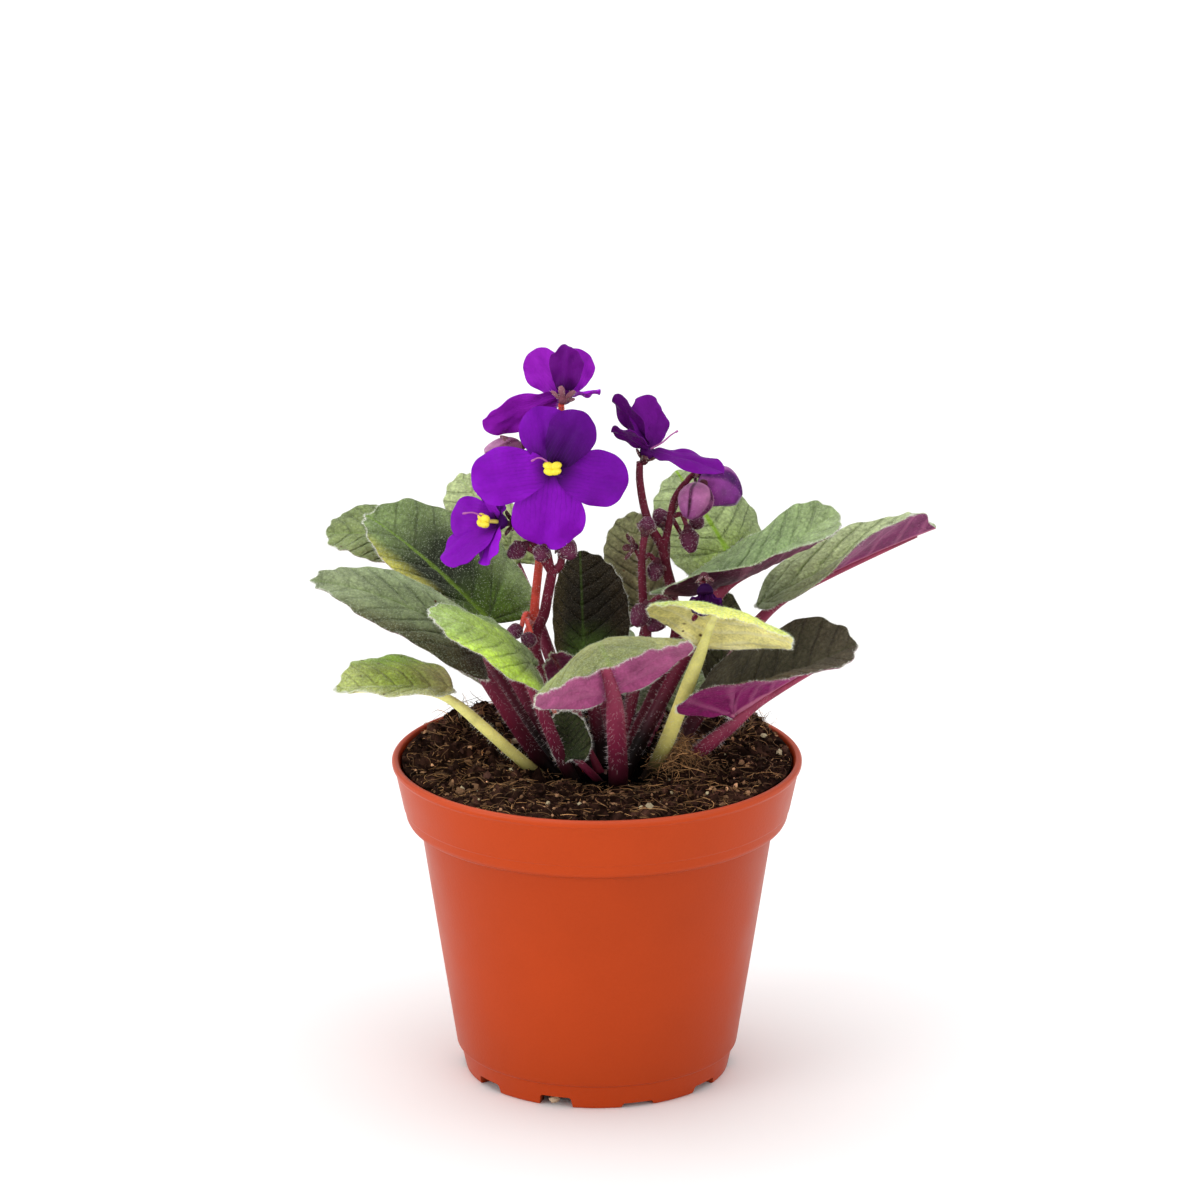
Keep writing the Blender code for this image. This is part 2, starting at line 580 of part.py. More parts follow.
def soil_height(x, y):
    """Height of the soil: a level bed with a crater round the crown, heaps by the wall, and lumps."""
    from_crown = (x - CROWN_CENTRE[0]) ** 2 + (y - CROWN_CENTRE[1]) ** 2
    height = SOIL_LEVEL - CRATER_DEPTH * np.exp(-(from_crown / CRATER_RADIUS ** 2) ** 2)
    for heap_x, heap_y, width, rise in SOIL_HEAPS:
        height = height + rise * np.exp(-((x - heap_x) ** 2 + (y - heap_y) ** 2) / width ** 2)
    lumps = np.sin(610 * x + 1.0) * np.sin(540 * y) + 0.6 * np.sin(1130 * x + 970 * y + 2.0)
    return height + 0.0006 * lumps


def make_soil(finish):
    angles = np.linspace(0, 2 * math.pi, POT_SIDES, endpoint=False)
    turn = np.column_stack([np.cos(angles), np.sin(angles)])

    def level_ring(radius, height):
        return np.column_stack([radius * turn, np.full(POT_SIDES, height)])

    rings = [
        level_ring(0.0366, FLOOR_TOP + GAP),
        level_ring(wall_radius(0.0085) - WALL_THICK - GAP, 0.0085),
        level_ring(wall_radius(0.0730) - WALL_THICK - GAP, 0.0730),
        level_ring(0.0536, 0.0789),
    ]
    outer = 0.0559
    for share in (1.0, 0.86, 0.70, 0.54, 0.39, 0.26, HOLE_RADIUS / outer):
        centre = CROWN_CENTRE[:2] * (1 - share) / (1 - HOLE_RADIUS / outer)
        across = centre + turn * outer * share
        rings.append(np.column_stack([across, soil_height(across[:, 0], across[:, 1])]))
    floor = rings[-1].copy()
    floor[:, 2] = soil_height(*CROWN_CENTRE[:2]) - HOLE_DEPTH
    rings.append(floor)
    return mesh_object("soil", *closed_rings(rings), finish)


def make_crown(finish):
    """The short stem: a stub in the soil's hole under a dome that the leaf stalks leave at right angles."""
    foot = soil_height(*CROWN_CENTRE[:2]) - HOLE_DEPTH + GAP
    neck = HOLE_RADIUS - GAP
    profile = [(neck, foot)]
    lowest = math.radians(22)
    profile.append((neck, CROWN_CENTRE[2] + CROWN_RADIUS * math.sin(lowest) - 0.0008))
    for share in (0.0, 0.3, 0.6, 0.88):
        rise = lowest + share * (math.pi / 2 - lowest)
        profile.append((CROWN_RADIUS * math.cos(rise), CROWN_CENTRE[2] + CROWN_RADIUS * math.sin(rise)))
    return mesh_object("crown", *turned(profile, CROWN_SIDES, CROWN_CENTRE[:2]), finish)


# ---- Blades: leaves, petals and sepals ----------------------------------------------------------

class Blade:
    """A thin curved sheet hung on four points: its foot, its tip and its left and right margin."""

    def __init__(self, foot, tip, left, right, droop=0.0, curl=(0.0, 0.0), twist=(0.0, 0.0), back=0.25, leafy=True):
        self.foot, self.tip = np.array(foot, float), np.array(tip, float)
        self.length = np.linalg.norm(self.tip - self.foot)
        self.axis = (self.tip - self.foot) / self.length
        side = np.array(left, float) - np.array(right, float)
        self.side = unit(side - self.axis * np.dot(side, self.axis))
        self.normal = np.cross(self.axis, self.side)
        self.droop = math.radians(droop) or 1e-3
        self.curl = [math.radians(angle) or 1e-3 for angle in curl]
        self.twist, self.back, self.leafy = [math.radians(angle) for angle in twist], back, leafy
        along, above, pitch = self.midrib(SIDE_STATION)
        middle = self.foot + along * self.axis + above * self.normal
        up = math.cos(pitch) * self.normal - math.sin(pitch) * self.axis
        self.halves = [
            self.half(sign * np.dot(point - middle, self.side), np.dot(point - middle, up), curl_angle)
            for sign, point, curl_angle in ((1, np.array(left), self.curl[0]), (-1, np.array(right), self.curl[1]))
        ]

    @staticmethod
    def half(across, above, curl):
        """First angle and arc length of the bent line from the midrib to a margin point."""
        chord = math.hypot(across, above)
        return math.atan2(above, across) - curl / 2, chord * (curl / 2) / math.sin(curl / 2)

    def midrib(self, share):
        """Distance along, height above and pitch of the midrib, an arc that turns by the droop."""
        stretch = (self.droop / 2) / math.sin(self.droop / 2)
        bend = self.droop / (self.length * stretch)
        pitch = self.droop / 2 - self.droop * share
        return (math.sin(self.droop / 2) - np.sin(pitch)) / bend, (np.cos(pitch) - math.cos(self.droop / 2)) / bend, pitch

    def outline(self, turn):
        """Margin point at a turn from the tip: share of the length, and share of the half width."""
        if not self.leafy:
            return 0.5 + 0.5 * np.cos(turn), np.sin(turn) * (1 + 0.22 * np.cos(turn))
        lobes = (1 - self.back) / 2 + (1 + self.back) / 2 * np.cos(turn)
        notch = (self.back - 0.03) * np.exp(-((np.abs(turn) - math.pi) / 0.42) ** 2)
        return lobes + notch, np.sin(turn) * (1 - 0.08 * np.cos(turn))

    def points(self, reach, turn):
        """Middle surface at a share of the way from the fan's centre to the margin."""
        centre = 0.0 if self.leafy else 0.5
        share, across = self.outline(turn)
        if self.leafy:
            reach = reach * (1 + SCALLOP * reach * np.cos(BLADE_SIDES / 2 * turn))
        share, across = centre + (share - centre) * reach, across * reach
        along, above, pitch = self.midrib(share)
        up = np.cos(pitch)[..., None] * self.normal - np.sin(pitch)[..., None] * self.axis
        left = across > 0
        turned_by = (np.where(left, self.twist[0], self.twist[1]) * (share - SIDE_STATION))[..., None]
        side = np.cos(turned_by) * self.side + np.sin(turned_by) * up
        up = np.cos(turned_by) * up - np.sin(turned_by) * self.side
        start = np.where(left, self.halves[0][0], self.halves[1][0])
        width = np.where(left, self.halves[0][1], self.halves[1][1])
        curl = np.where(left, self.curl[0], self.curl[1])
        end = start + curl * np.abs(across)
        out = width / curl * (np.sin(end) - np.sin(start)) * np.where(left, 1, -1)
        rise = width / curl * (np.cos(start) - np.cos(end))
        if self.leafy:
            rise = rise + MARGIN_WAVE * reach ** 3 * np.sin(7 * turn + 1000 * self.foot[0])
        return (
            self.foot + along[..., None] * self.axis + above[..., None] * self.normal
            + out[..., None] * side + rise[..., None] * up
        )


def sheet(blade, sides, reaches, middle_thick, margin_thick):
    """Points and faces of a blade as a solid, both faces split into the same triangles."""
    turn = np.linspace(-math.pi, math.pi, sides, endpoint=False)
    rings = [blade.points(np.full(sides, reach), turn) for reach in reaches]
    middle = np.vstack([blade.points(np.zeros(1), np.zeros(1)), *rings])
    faces = [(0, 1 + i, 1 + (i + 1) % sides) for i in range(sides)]
    for ring in range(len(reaches) - 1):
        a, b = 1 + ring * sides, 1 + (ring + 1) * sides
        for i in range(sides):
            j = (i + 1) % sides
            faces += [(a + i, b + i, b + j), (a + i, b + j, a + j)]
    corners = middle[np.array(faces)]
    flat = np.cross(corners[:, 1] - corners[:, 0], corners[:, 2] - corners[:, 0])
    normals = np.zeros_like(middle)
    for corner in range(3):
        np.add.at(normals, np.array(faces)[:, corner], flat)
    normals /= np.linalg.norm(normals, axis=1)[:, None]
    reach = np.concatenate([[0.0], np.repeat(reaches, sides)])[:, None]
    half = (middle_thick + (margin_thick - middle_thick) * reach) / 2
    points = np.vstack([middle + normals * half, middle - normals * half])
    under = len(middle)
    rim = under - sides
    solid = list(faces) + [(c + under, b + under, a + under) for a, b, c in faces]
    for i in range(sides):
        j = (i + 1) % sides
        solid += [(rim + i, rim + i + under, rim + j + under), (rim + i, rim + j + under, rim + j)]
    return points, solid


# ---- Leaves -------------------------------------------------------------------------------------

def crown_point(turn, rise, lift):
    """A point on the crown's dome raised by lift, and the direction outwards there."""
    turn, rise = math.radians(turn), math.radians(rise)
    out = np.array([math.cos(turn) * math.cos(rise), math.sin(turn) * math.cos(rise), math.sin(rise)])
    return CROWN_CENTRE + out * (CROWN_RADIUS + lift), out


def stalk_path(start, out, end, bow, count):
    """From the crown, leaving it nearly at a right angle, to the end, with the middle pushed by the bow."""
    chord = np.linalg.norm(end - start)
    ahead = unit(end - start)
    return curve_points(
        [start, start + unit(ahead + out) * 0.33 * chord + np.array(bow), end - ahead * 0.33 * chord + np.array(bow), end],
        count,
    )


def make_leaf(name, row, finishes):
    blade = Blade(row["foot"], row["tip"], row["left"], row["right"], row["droop"], row["curl"], row["twist"], row["back"])
    mesh_object(
        f"leaf_{name}_blade", *sheet(blade, BLADE_SIDES, BLADE_RINGS, MIDRIB_THICK, MARGIN_THICK), finishes[row["finish"]]
    )
    radius = row["radius"]
    start, out = crown_point(*row["base"], GAP + 0.0002)
    pitch = blade.droop / 2
    under = math.cos(pitch) * blade.normal - math.sin(pitch) * blade.axis
    lean = math.sqrt(1 - np.dot(unit(blade.foot - start), under) ** 2)
    end = blade.foot - under * (MIDRIB_THICK / 2 + GAP + (0.72 * lean + 0.10) * radius)
    path = stalk_path(start, out, end, row["bow"], 7)
    tilt = math.sqrt(max(0.0, 1 - np.dot(unit(path[1] - path[0]), out) ** 2))
    path = path + out * radius * tilt * np.linspace(1, 0, 7)[:, None]
    radii = radius * np.array([1.0, 1.0, 1.0, 0.97, 0.94, 0.88, 0.70])
    mesh_object(f"leaf_{name}_stalk", *tube(path, radii, 6), finishes[row["stalk_finish"]])


# ---- Flowers ------------------------------------------------------------------------------------

def petal_blade(centre, facing, tip, width, roll, curl):
    """A petal from near the throat to its tip, turned about its own length by the roll."""
    tip = np.array(tip, float)
    along = unit(tip - centre)
    across = unit(np.cross(facing, along))
    above = np.cross(along, across)
    roll = math.radians(roll)
    across = across * math.cos(roll) + above * math.sin(roll)
    foot = centre + along * 0.0008
    middle = foot + (tip - foot) * SIDE_STATION
    half = across * width / 2
    return Blade(foot, tip, middle + half, middle - half, droop=22, curl=(curl, curl), leafy=False)


def oval(centre, axis, across, radii, sides, rings):
    """An egg along an axis: radii are its half length and its half width."""
    axis, across = unit(np.array(axis, float)), np.array(across, float)
    across = unit(across - axis * np.dot(across, axis))
    other = np.cross(axis, across)
    turn = np.linspace(0, 2 * math.pi, sides, endpoint=False)[:, None]
    rise = np.linspace(-1, 1, rings + 2)[1:-1] * math.pi / 2 * 1.06
    circles = [
        centre + axis * radii[0] * math.sin(angle)
        + radii[1] * math.cos(angle) * (np.cos(turn) * across + np.sin(turn) * other)
        for angle in rise
    ]
    return closed_rings(circles)


def make_corolla(name, row, finish):
    """Five petals on one short tube."""
    centre, facing = np.array(row["centre"]), unit(np.array(row["facing"], float))
    behind = centre - facing * 0.0022
    throat = tube(np.array([behind, centre - facing * 0.0003, centre + facing * 0.0006]), [0.0011, 0.0024, 0.0024], 8)
    pieces = [mesh_object("throat", *throat, finish)]
    for tip, width, roll, curl in row["petals"]:
        blade = petal_blade(centre, facing, tip, width, roll, curl)
        pieces.append(mesh_object("petal", *sheet(blade, PETAL_SIDES, PETAL_RINGS, PETAL_THICK * 1.3, PETAL_THICK), finish))
    fused(f"bloom_{name}_corolla", pieces)


def make_anthers(name, row, finish):
    """Two pairs of yellow pollen lobes on a short filament that starts just in front of the throat."""
    centre, facing = np.array(row["centre"]), unit(np.array(row["facing"], float))
    across = unit(np.cross((0.0, 0.0, 1.0), facing))
    up = np.cross(facing, across)
    reach = row["anthers"]
    filament = tube(centre + facing * np.array([[0.0014], [reach]]), [0.0006, 0.0006], 5)
    pieces = [mesh_object("filament", *filament, finish)]
    for side, lift in ((-0.0011, 0.0007), (0.0011, 0.0008), (-0.0009, -0.0009), (0.0010, -0.0008)):
        at = centre + facing * reach + across * side + up * lift
        pieces.append(mesh_object("lobe", *oval(at, across, up, (0.0017, 0.0012), 7, 3), finish))
    fused(f"bloom_{name}_anthers", pieces)


def spindle(base, tip, radius, sides=8):
    """A ribbed bud, fattest below its middle, drawn out to a blunt point."""
    base, tip = np.array(base, float), np.array(tip, float)
    axis = unit(tip - base)
    across = unit(np.cross(axis, (0.2, 0.3, 0.93)))
    other = np.cross(axis, across)
    turn = np.linspace(0, 2 * math.pi, sides, endpoint=False)[:, None]
    rib = 1 + 0.07 * np.cos(sides / 2 * turn)
    circles = []
    for share, fat in ((-0.08, 0.35), (0.20, 0.90), (0.55, 1.0), (0.97, 0.28)):
        circles.append(base + (tip - base) * share + radius * fat * rib * (np.cos(turn) * across + np.sin(turn) * other))
    return closed_rings(circles)


def calyx(base, axis, spread, reach):
    """Points and faces of five pointed sepals standing out from one short cup."""
    base, axis = np.array(base, float), unit(np.array(axis, float))
    across = unit(np.cross(axis, (0.35, 0.2, 0.91)))
    other = np.cross(axis, across)
    turn = np.linspace(0, 2 * math.pi, 10, endpoint=False)[:, None] + 0.3
    out = np.cos(turn) * across + np.sin(turn) * other
    tips = np.arange(10)[:, None] % 2 == 0
    star = base + np.where(tips, spread, 0.0013) * out + np.where(tips, reach, 0.2 * reach) * axis
    return closed_rings([
        base + 0.0009 * out - CUP_HALF * axis,
        star - SEPAL_THICK / 2 * axis,
        star + SEPAL_THICK / 2 * axis,
        base + 0.0009 * out + CUP_HALF * axis,
    ])


def make_flower_stalk(name, row, finishes):
    """One stalk with its side stalks, calyxes and closed maroon buds, as one body."""
    finish = finishes[row["finish"]]
    pieces = []
    start, _ = crown_point(*row["base"], GAP + 0.0004)
    for count, (radii, controls) in enumerate(row["branches"]):
        route = [start, *controls] if count == 0 else controls
        path = smooth_route(route, 2 * (len(route) - 1) + 1)
        thick = np.linspace(radii[0], radii[1], len(path))
        pieces.append(mesh_object("branch", *tube(path, thick, 5), finish))
    for base, tip, radius in row["buds"]:
        pieces.append(mesh_object("bud", *spindle(base, tip, radius), finish))
    for base, axis, spread, reach in row["calyxes"]:
        pieces.append(mesh_object("calyx", *calyx(base, axis, spread, reach), finish))
    fused(f"flower_stalk_{name}", pieces)


def smooth_route(points, count):
    """A curve through all the points: cubic between neighbours, its slope at each from those beside it."""
    points = np.array(points, float)
    slopes = np.gradient(points, axis=0)
    place = np.linspace(0, len(points) - 1, count)
    left = np.minimum(place.astype(int), len(points) - 2)
    t = (place - left)[:, None]
    a, b, da, db = points[left], points[left + 1], slopes[left], slopes[left + 1]
    return (
        (2 * t**3 - 3 * t**2 + 1) * a + (t**3 - 2 * t**2 + t) * da
        + (3 * t**2 - 2 * t**3) * b + (t**3 - t**2) * db
    )


def make_coloured_bud(name, row, finish):
    base, tip, radius = row
    mesh_object(f"bud_{name}", *spindle(base, tip, radius, 12), finish)


# ---- The whole plant ----------------------------------------------------------------------------

def stand_on_origin():
    """Moves everything so that the middle of the footprint of its bounding box is the origin."""
    bpy.context.view_layer.update()
    graph = bpy.context.evaluated_depsgraph_get()
    corners = []
    shown = [found for found in bpy.data.objects if found.type == "MESH" and not found.hide_render]
    for found in shown:
        mesh = found.evaluated_get(graph).data
        points = np.empty(len(mesh.vertices) * 3, np.float32)
        mesh.vertices.foreach_get("co", points)
        points = points.reshape(-1, 3)
        corners += [points.min(axis=0), points.max(axis=0)]
    middle = (np.min(corners, axis=0) + np.max(corners, axis=0)) / 2
    axis = bpy.data.objects.new("pot_axis", None)
    bpy.context.scene.collection.objects.link(axis)
    for found in bpy.data.objects:
        if found is not axis:
            found.parent = axis
    axis.location = (-float(middle[0]), -float(middle[1]), 0.0)


def main():
    clear_scene()
    finishes = {
        "pot": material("terracotta plastic", (0.52, 0.085, 0.028), 0.38),
        "soil": material("peat and coir", (0.030, 0.016, 0.010), 0.95),
        "maroon": material("maroon stalk", (0.16, 0.020, 0.045), 0.55),
        "coral": material("coral stalk", (0.45, 0.10, 0.07), 0.55),
        "yellow": material("pale yellow stalk", (0.50, 0.48, 0.17), 0.55),
        "green": material("grey-green leaf", (0.12, 0.17, 0.085), 0.65),
        "lime": material("lime leaf", (0.25, 0.36, 0.05), 0.65),
        "dark": material("brown-green leaf", (0.055, 0.055, 0.025), 0.65),
        "violet": material("violet petal", (0.18, 0.006, 0.42), 0.5),
        "mauve": material("mauve bud", (0.28, 0.06, 0.26), 0.5),
        "pollen": material("yellow anther", (0.90, 0.62, 0.03), 0.5),
    }
    make_pot(finishes["pot"])
    make_soil(finishes["soil"])
    make_crown(finishes["maroon"])
    for name, row in LEAVES.items():
        make_leaf(name, row, finishes)
    for name, row in FLOWER_STALKS.items():
        make_flower_stalk(name, row, finishes)
    for name, row in BLOOMS.items():
        make_corolla(name, row, finishes["violet"])
        if row["anthers"]:
            make_anthers(name, row, finishes["pollen"])
    for name, row in COLOURED_BUDS.items():
        make_coloured_bud(name, row, finishes["mauve"])
    stand_on_origin()


main()
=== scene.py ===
"""A potted African violet: pot, soil, crown, leaves, flower stalks, blooms and buds, in the order in which
the plant is put together. Tables are in millimetres from the pot's axis, on the surface that it stands on."""

import math

import bpy
import numpy as np
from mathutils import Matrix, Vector


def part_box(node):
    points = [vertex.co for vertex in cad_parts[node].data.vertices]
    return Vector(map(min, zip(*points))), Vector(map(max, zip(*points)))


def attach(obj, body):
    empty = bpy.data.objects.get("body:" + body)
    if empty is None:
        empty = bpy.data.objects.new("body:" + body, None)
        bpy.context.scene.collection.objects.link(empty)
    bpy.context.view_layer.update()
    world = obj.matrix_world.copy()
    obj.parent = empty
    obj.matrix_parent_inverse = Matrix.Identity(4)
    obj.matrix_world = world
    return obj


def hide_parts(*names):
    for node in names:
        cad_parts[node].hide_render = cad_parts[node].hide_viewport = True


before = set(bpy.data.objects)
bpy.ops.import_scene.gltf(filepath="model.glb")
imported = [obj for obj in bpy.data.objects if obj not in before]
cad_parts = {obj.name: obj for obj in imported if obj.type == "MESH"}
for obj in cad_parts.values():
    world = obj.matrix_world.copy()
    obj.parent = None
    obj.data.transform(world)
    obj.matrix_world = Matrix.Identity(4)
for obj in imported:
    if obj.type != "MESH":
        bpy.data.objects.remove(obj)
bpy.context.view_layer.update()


# ---- The pot --------------------------------------------------------------------------------------
# A 12 cm nursery pot, injection moulded in one piece from thin orange-brown plastic. A stacking band
# stands out under its rounded lip; openings in the foot ring and holes in the floor let water drain.

pot_low, pot_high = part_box("pot")
POT_AXIS = np.array([(pot_low.x + pot_high.x) / 2, (pot_low.y + pot_high.y) / 2, 0.0])
MM = 0.001

# Radius, height and how far each corner is rounded, from the middle of the underside, out over the
# foot, up the wall, over the lip and down the inside.
POT_CORNERS = np.array([
    (2.0, 3.0, 0.1), (34.4, 3.0, 0.5), (35.1, 0.05, 0.3), (38.7, 0.0, 0.6), (40.3, 7.2, 0.3),
    (41.2, 7.75, 0.25), (41.45, 8.3, 0.25), (46.36, 40.0, 0.4), (51.7, 75.2, 0.4), (52.3, 76.0, 0.4),
    (55.2, 76.9, 0.6), (55.9, 78.2, 0.5), (56.35, 80.6, 0.25), (56.62, 80.9, 0.25), (59.15, 92.9, 0.4),
    (59.95, 93.7, 0.4), (60.0, 94.9, 0.4), (59.3, 95.5, 0.35), (58.3, 95.4, 0.4), (57.7, 94.3, 0.6),
    (54.6, 78.3, 0.8), (50.4, 74.0, 0.8), (45.0, 40.0, 0.4), (39.9, 6.4, 0.8), (37.5, 4.6, 0.8),
    (2.0, 4.6, 0.1),
])


def rounded(corners, steps):
    """A profile whose corners are rounded: each is a parabola from the point its reach before the corner
    to the point its reach after it, drawn towards the corner itself."""
    at, reach = corners[:, :2], corners[:, 2:, None]
    step = np.diff(at, axis=0)
    step /= np.linalg.norm(step, axis=1)[:, None]
    before = at - np.vstack([step[:1], step]) * reach[:, 0]
    after = at + np.vstack([step, step[-1:]]) * reach[:, 0]
    t = np.linspace(0, 1, steps)[None, :, None]
    curve = (1 - t) ** 2 * before[:, None] + 2 * t * (1 - t) * at[:, None] + t ** 2 * after[:, None]
    return curve.reshape(-1, 2)


def turned(profile, angles):
    """Rings of points: each row's radius carried round the upright axis by the angles, at its height."""
    radius, height = profile[:, :1], profile[:, 1:]
    height = np.repeat(height, len(angles), 1)
    return np.stack([radius * np.cos(angles), radius * np.sin(angles), height], -1)


def shell(points, quads, tris, chart=(0, 0), tint=(1, 1, 1, 1), coat=0):
    """Points and faces, with a place on the surface (chart) and a tint for each point, and a coat, the
    place of its finish, for each face."""
    coats = np.broadcast_to(coat, len(quads) + len(tris)) if np.ndim(coat) == 0 else coat
    tint = np.broadcast_to(tint, (len(points), len(np.atleast_2d(tint)[0])))
    if tint.shape[1] == 3:
        tint = np.column_stack([tint, np.ones(len(points))])
    return dict(
        points=points, quads=np.reshape(quads, (-1, 4)), tris=np.reshape(tris, (-1, 3)),
        chart=np.broadcast_to(chart, (len(points), 2)), tint=tint, coat=coats,
    )


def skin(rings, chart=None, tint=(1, 1, 1), coat=0):
    """One closed shell for each stack of equal rings: four-cornered faces join each ring to the next, and
    a fan to the middle of its end ring closes each end. chart and tint are one row for each ring point."""
    rings = rings if rings.ndim == 4 else rings[None]
    many, count, sides = rings.shape[:3]
    grid = np.arange(count * sides).reshape(count, sides)
    beside = np.roll(grid, -1, axis=1)
    quads = np.stack([grid[:-1], beside[:-1], beside[1:], grid[1:]], -1).reshape(-1, 4)
    foot, top = np.full(sides, count * sides), np.full(sides, count * sides + 1)
    low_fan, high_fan = [foot, beside[0], grid[0]], [top, grid[-1], beside[-1]]
    tris = np.vstack([np.column_stack(low_fan), np.column_stack(high_fan)])
    move = np.arange(many)[:, None, None] * (count * sides + 2)

    def with_ends(values):
        """Each shell's values in one row, with the mean of its first and of its last ring after them."""
        values = np.broadcast_to(values, (many, count, sides, np.shape(values)[-1]))
        flat = values.reshape(many, count * sides, -1)
        ends = [values[:, 0].mean(1, keepdims=True), values[:, -1].mean(1, keepdims=True)]
        return np.concatenate([flat, *ends], 1).reshape(-1, values.shape[-1])

    return shell(
        with_ends(rings), (quads + move).reshape(-1, 4), (tris + move).reshape(-1, 3),
        (0, 0) if chart is None else with_ends(chart), with_ends(np.asarray(tint, float)), coat,
    )


def set_out(name, shells, finishes, instead_of=(), crease=60):
    """Lays shells, in millimetres from the pot's axis, into one mesh object that rides on the plant."""
    moves = np.cumsum([0] + [len(s["points"]) for s in shells[:-1]])
    points, chart, tint = (np.vstack([s[key] for s in shells]) for key in ("points", "chart", "tint"))
    quads, tris = (
        np.vstack([s[key] + move for s, move in zip(shells, moves)]).astype(int) for key in ("quads", "tris")
    )
    coats = [s["coat"][: len(s["quads"])] for s in shells] + [s["coat"][len(s["quads"]):] for s in shells]
    corners = np.concatenate([quads.ravel(), tris.ravel()])
    sizes = np.repeat([4, 3], [len(quads), len(tris)])
    mesh = bpy.data.meshes.new(name)
    mesh.vertices.add(len(points))
    mesh.vertices.foreach_set("co", (points * MM + POT_AXIS).astype(np.float32).ravel())
    mesh.loops.add(len(corners))
    mesh.loops.foreach_set("vertex_index", corners.astype(np.int32))
    mesh.polygons.add(len(sizes))
    mesh.polygons.foreach_set("loop_start", (np.cumsum(sizes) - sizes).astype(np.int32))
    mesh.polygons.foreach_set("material_index", np.concatenate(coats).astype(np.int32))
    mesh.update(calc_edges=True)
    mesh.uv_layers.new(name="chart").uv.foreach_set("vector", chart[corners].astype(np.float32).ravel())
    tints = mesh.color_attributes.new("tint", "FLOAT_COLOR", "POINT").data
    tints.foreach_set("color", tint.astype(np.float32).ravel())
    for finish in finishes:
        mesh.materials.append(finish)
    mesh.shade_smooth()
    mesh.set_sharp_from_angle(angle=math.radians(crease))
    made = bpy.data.objects.new(name, mesh)
    bpy.context.scene.collection.objects.link(made)
    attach(made, "root")
    if instead_of:
        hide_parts(*instead_of)
    return made


def eased(value, start, end):
    """0 up to start, 1 from end on, and a smooth step between them."""
    share = np.clip((value - start) / (end - start), 0, 1)
    return share * share * (3 - 2 * share)


def lumps(points, size, seed):
    """A smooth random field from -1 to 1: a fixed random value at each corner of a lattice of the given
    size, blended between corners with eased weights."""
    place = points / size
    cell = np.floor(place)
    share = place - cell
    share = share * share * (3 - 2 * share)
    total = 0
    for corner in np.ndindex(2, 2, 2):
        mixed = np.sin((cell + corner) @ np.array([127.1, 311.7, 74.7]) + seed) * 43758.5453
        total = total + np.prod(np.where(corner, share, 1 - share), axis=-1) * (mixed - np.floor(mixed))
    return 2 * total - 1


def add_node(tree, kind, sockets=None, **traits):
    """One node of a finish: its traits are set, and its sockets given a value or joined to an output."""
    node = tree.nodes.new("ShaderNode" + kind)
    for trait, value in traits.items():
        setattr(node, trait, value)
    for socket, value in (sockets or {}).items():
        if isinstance(value, bpy.types.NodeSocket):
            tree.links.new(value, node.inputs[socket])
        else:
            node.inputs[socket].default_value = value
    return node


def reckon(tree, operation, *values):
    """The named sum, product or other reckoning of the values, each a number or an output."""
    return add_node(tree, "Math", dict(enumerate(values)), operation=operation).outputs[0]


def fade(tree, value, start, end):
    """0 below start, 1 above end, and a smooth step between them; start may be the larger."""
    sockets = {"Value": value, "From Min": start, "From Max": end}
    return add_node(tree, "MapRange", sockets, interpolation_type="SMOOTHSTEP").outputs[0]


def mixed(tree, share, first, second, how="MIX"):
    """first times one minus the share, plus second times the share."""
    node = add_node(tree, "Mix", {0: share, 6: first, 7: second}, data_type="RGBA", blend_type=how)
    return node.outputs[2]


def near_line(tree, steps):
    """1 where the steps pass a whole number, and 0 midway between two."""
    from_middle = reckon(tree, "ABSOLUTE", reckon(tree, "SUBTRACT", reckon(tree, "FRACT", steps), 0.5))
    return reckon(tree, "MULTIPLY", from_middle, 2.0)


def noise(tree, place, scale, detail):
    """Soft noise of the given scale at a place."""
    return add_node(tree, "TexNoise", {"Vector": place, "Scale": scale, "Detail": detail}).outputs[0]


def scaled(tree, colour, factor):
    """A colour times a factor."""
    return add_node(tree, "VectorMath", {0: colour, "Scale": factor}, operation="SCALE").outputs[0]


def new_group(name, entries, exits):
    """An empty node group with the named inputs and outputs, each given with its kind of socket."""
    group = bpy.data.node_groups.new(name, "ShaderNodeTree")
    for in_out, sockets in (("INPUT", entries), ("OUTPUT", exits)):
        for socket, kind in sockets.items():
            group.interface.new_socket(name=socket, in_out=in_out, socket_type="NodeSocket" + kind)
    return group, group.nodes.new("NodeGroupInput").outputs, group.nodes.new("NodeGroupOutput").inputs


def make_mottle():
    """Colour times one plus Amount times coarse and fine noise. The fine noise is the height, and the
    coarse noise tells where the surface is worn."""
    group, given, out = new_group(
        "mottle", {"Colour": "Color", "Amount": "Float", "Coarse": "Float", "Fine": "Float"},
        {"Colour": "Color", "Height": "Float", "Worn": "Float"},
    )
    place = add_node(group, "TexCoord").outputs["Object"]
    coarse = noise(group, place, given["Coarse"], 3.0)
    fine = noise(group, place, given["Fine"], 4.0)
    both = reckon(group, "ADD", reckon(group, "MULTIPLY", coarse, 1.2), fine)
    change = reckon(group, "MULTIPLY_ADD", reckon(group, "SUBTRACT", both, 1.1), given["Amount"], 1.0)
    group.links.new(scaled(group, given["Colour"], change), out["Colour"])
    group.links.new(fine, out["Height"])
    group.links.new(coarse, out["Worn"])
    return group


mottle = make_mottle()


def mottled(tree, colour, amount, coarse, fine):
    """The mottle's outputs for a colour."""
    values = {"Colour": colour, "Amount": amount, "Coarse": coarse, "Fine": fine}
    return add_node(tree, "Group", values, node_tree=mottle).outputs


def mesh_tint(tree):
    """The tint that a mesh holds at its points, as outputs for its colour and its fourth value."""
    return add_node(tree, "Attribute", attribute_name="tint").outputs


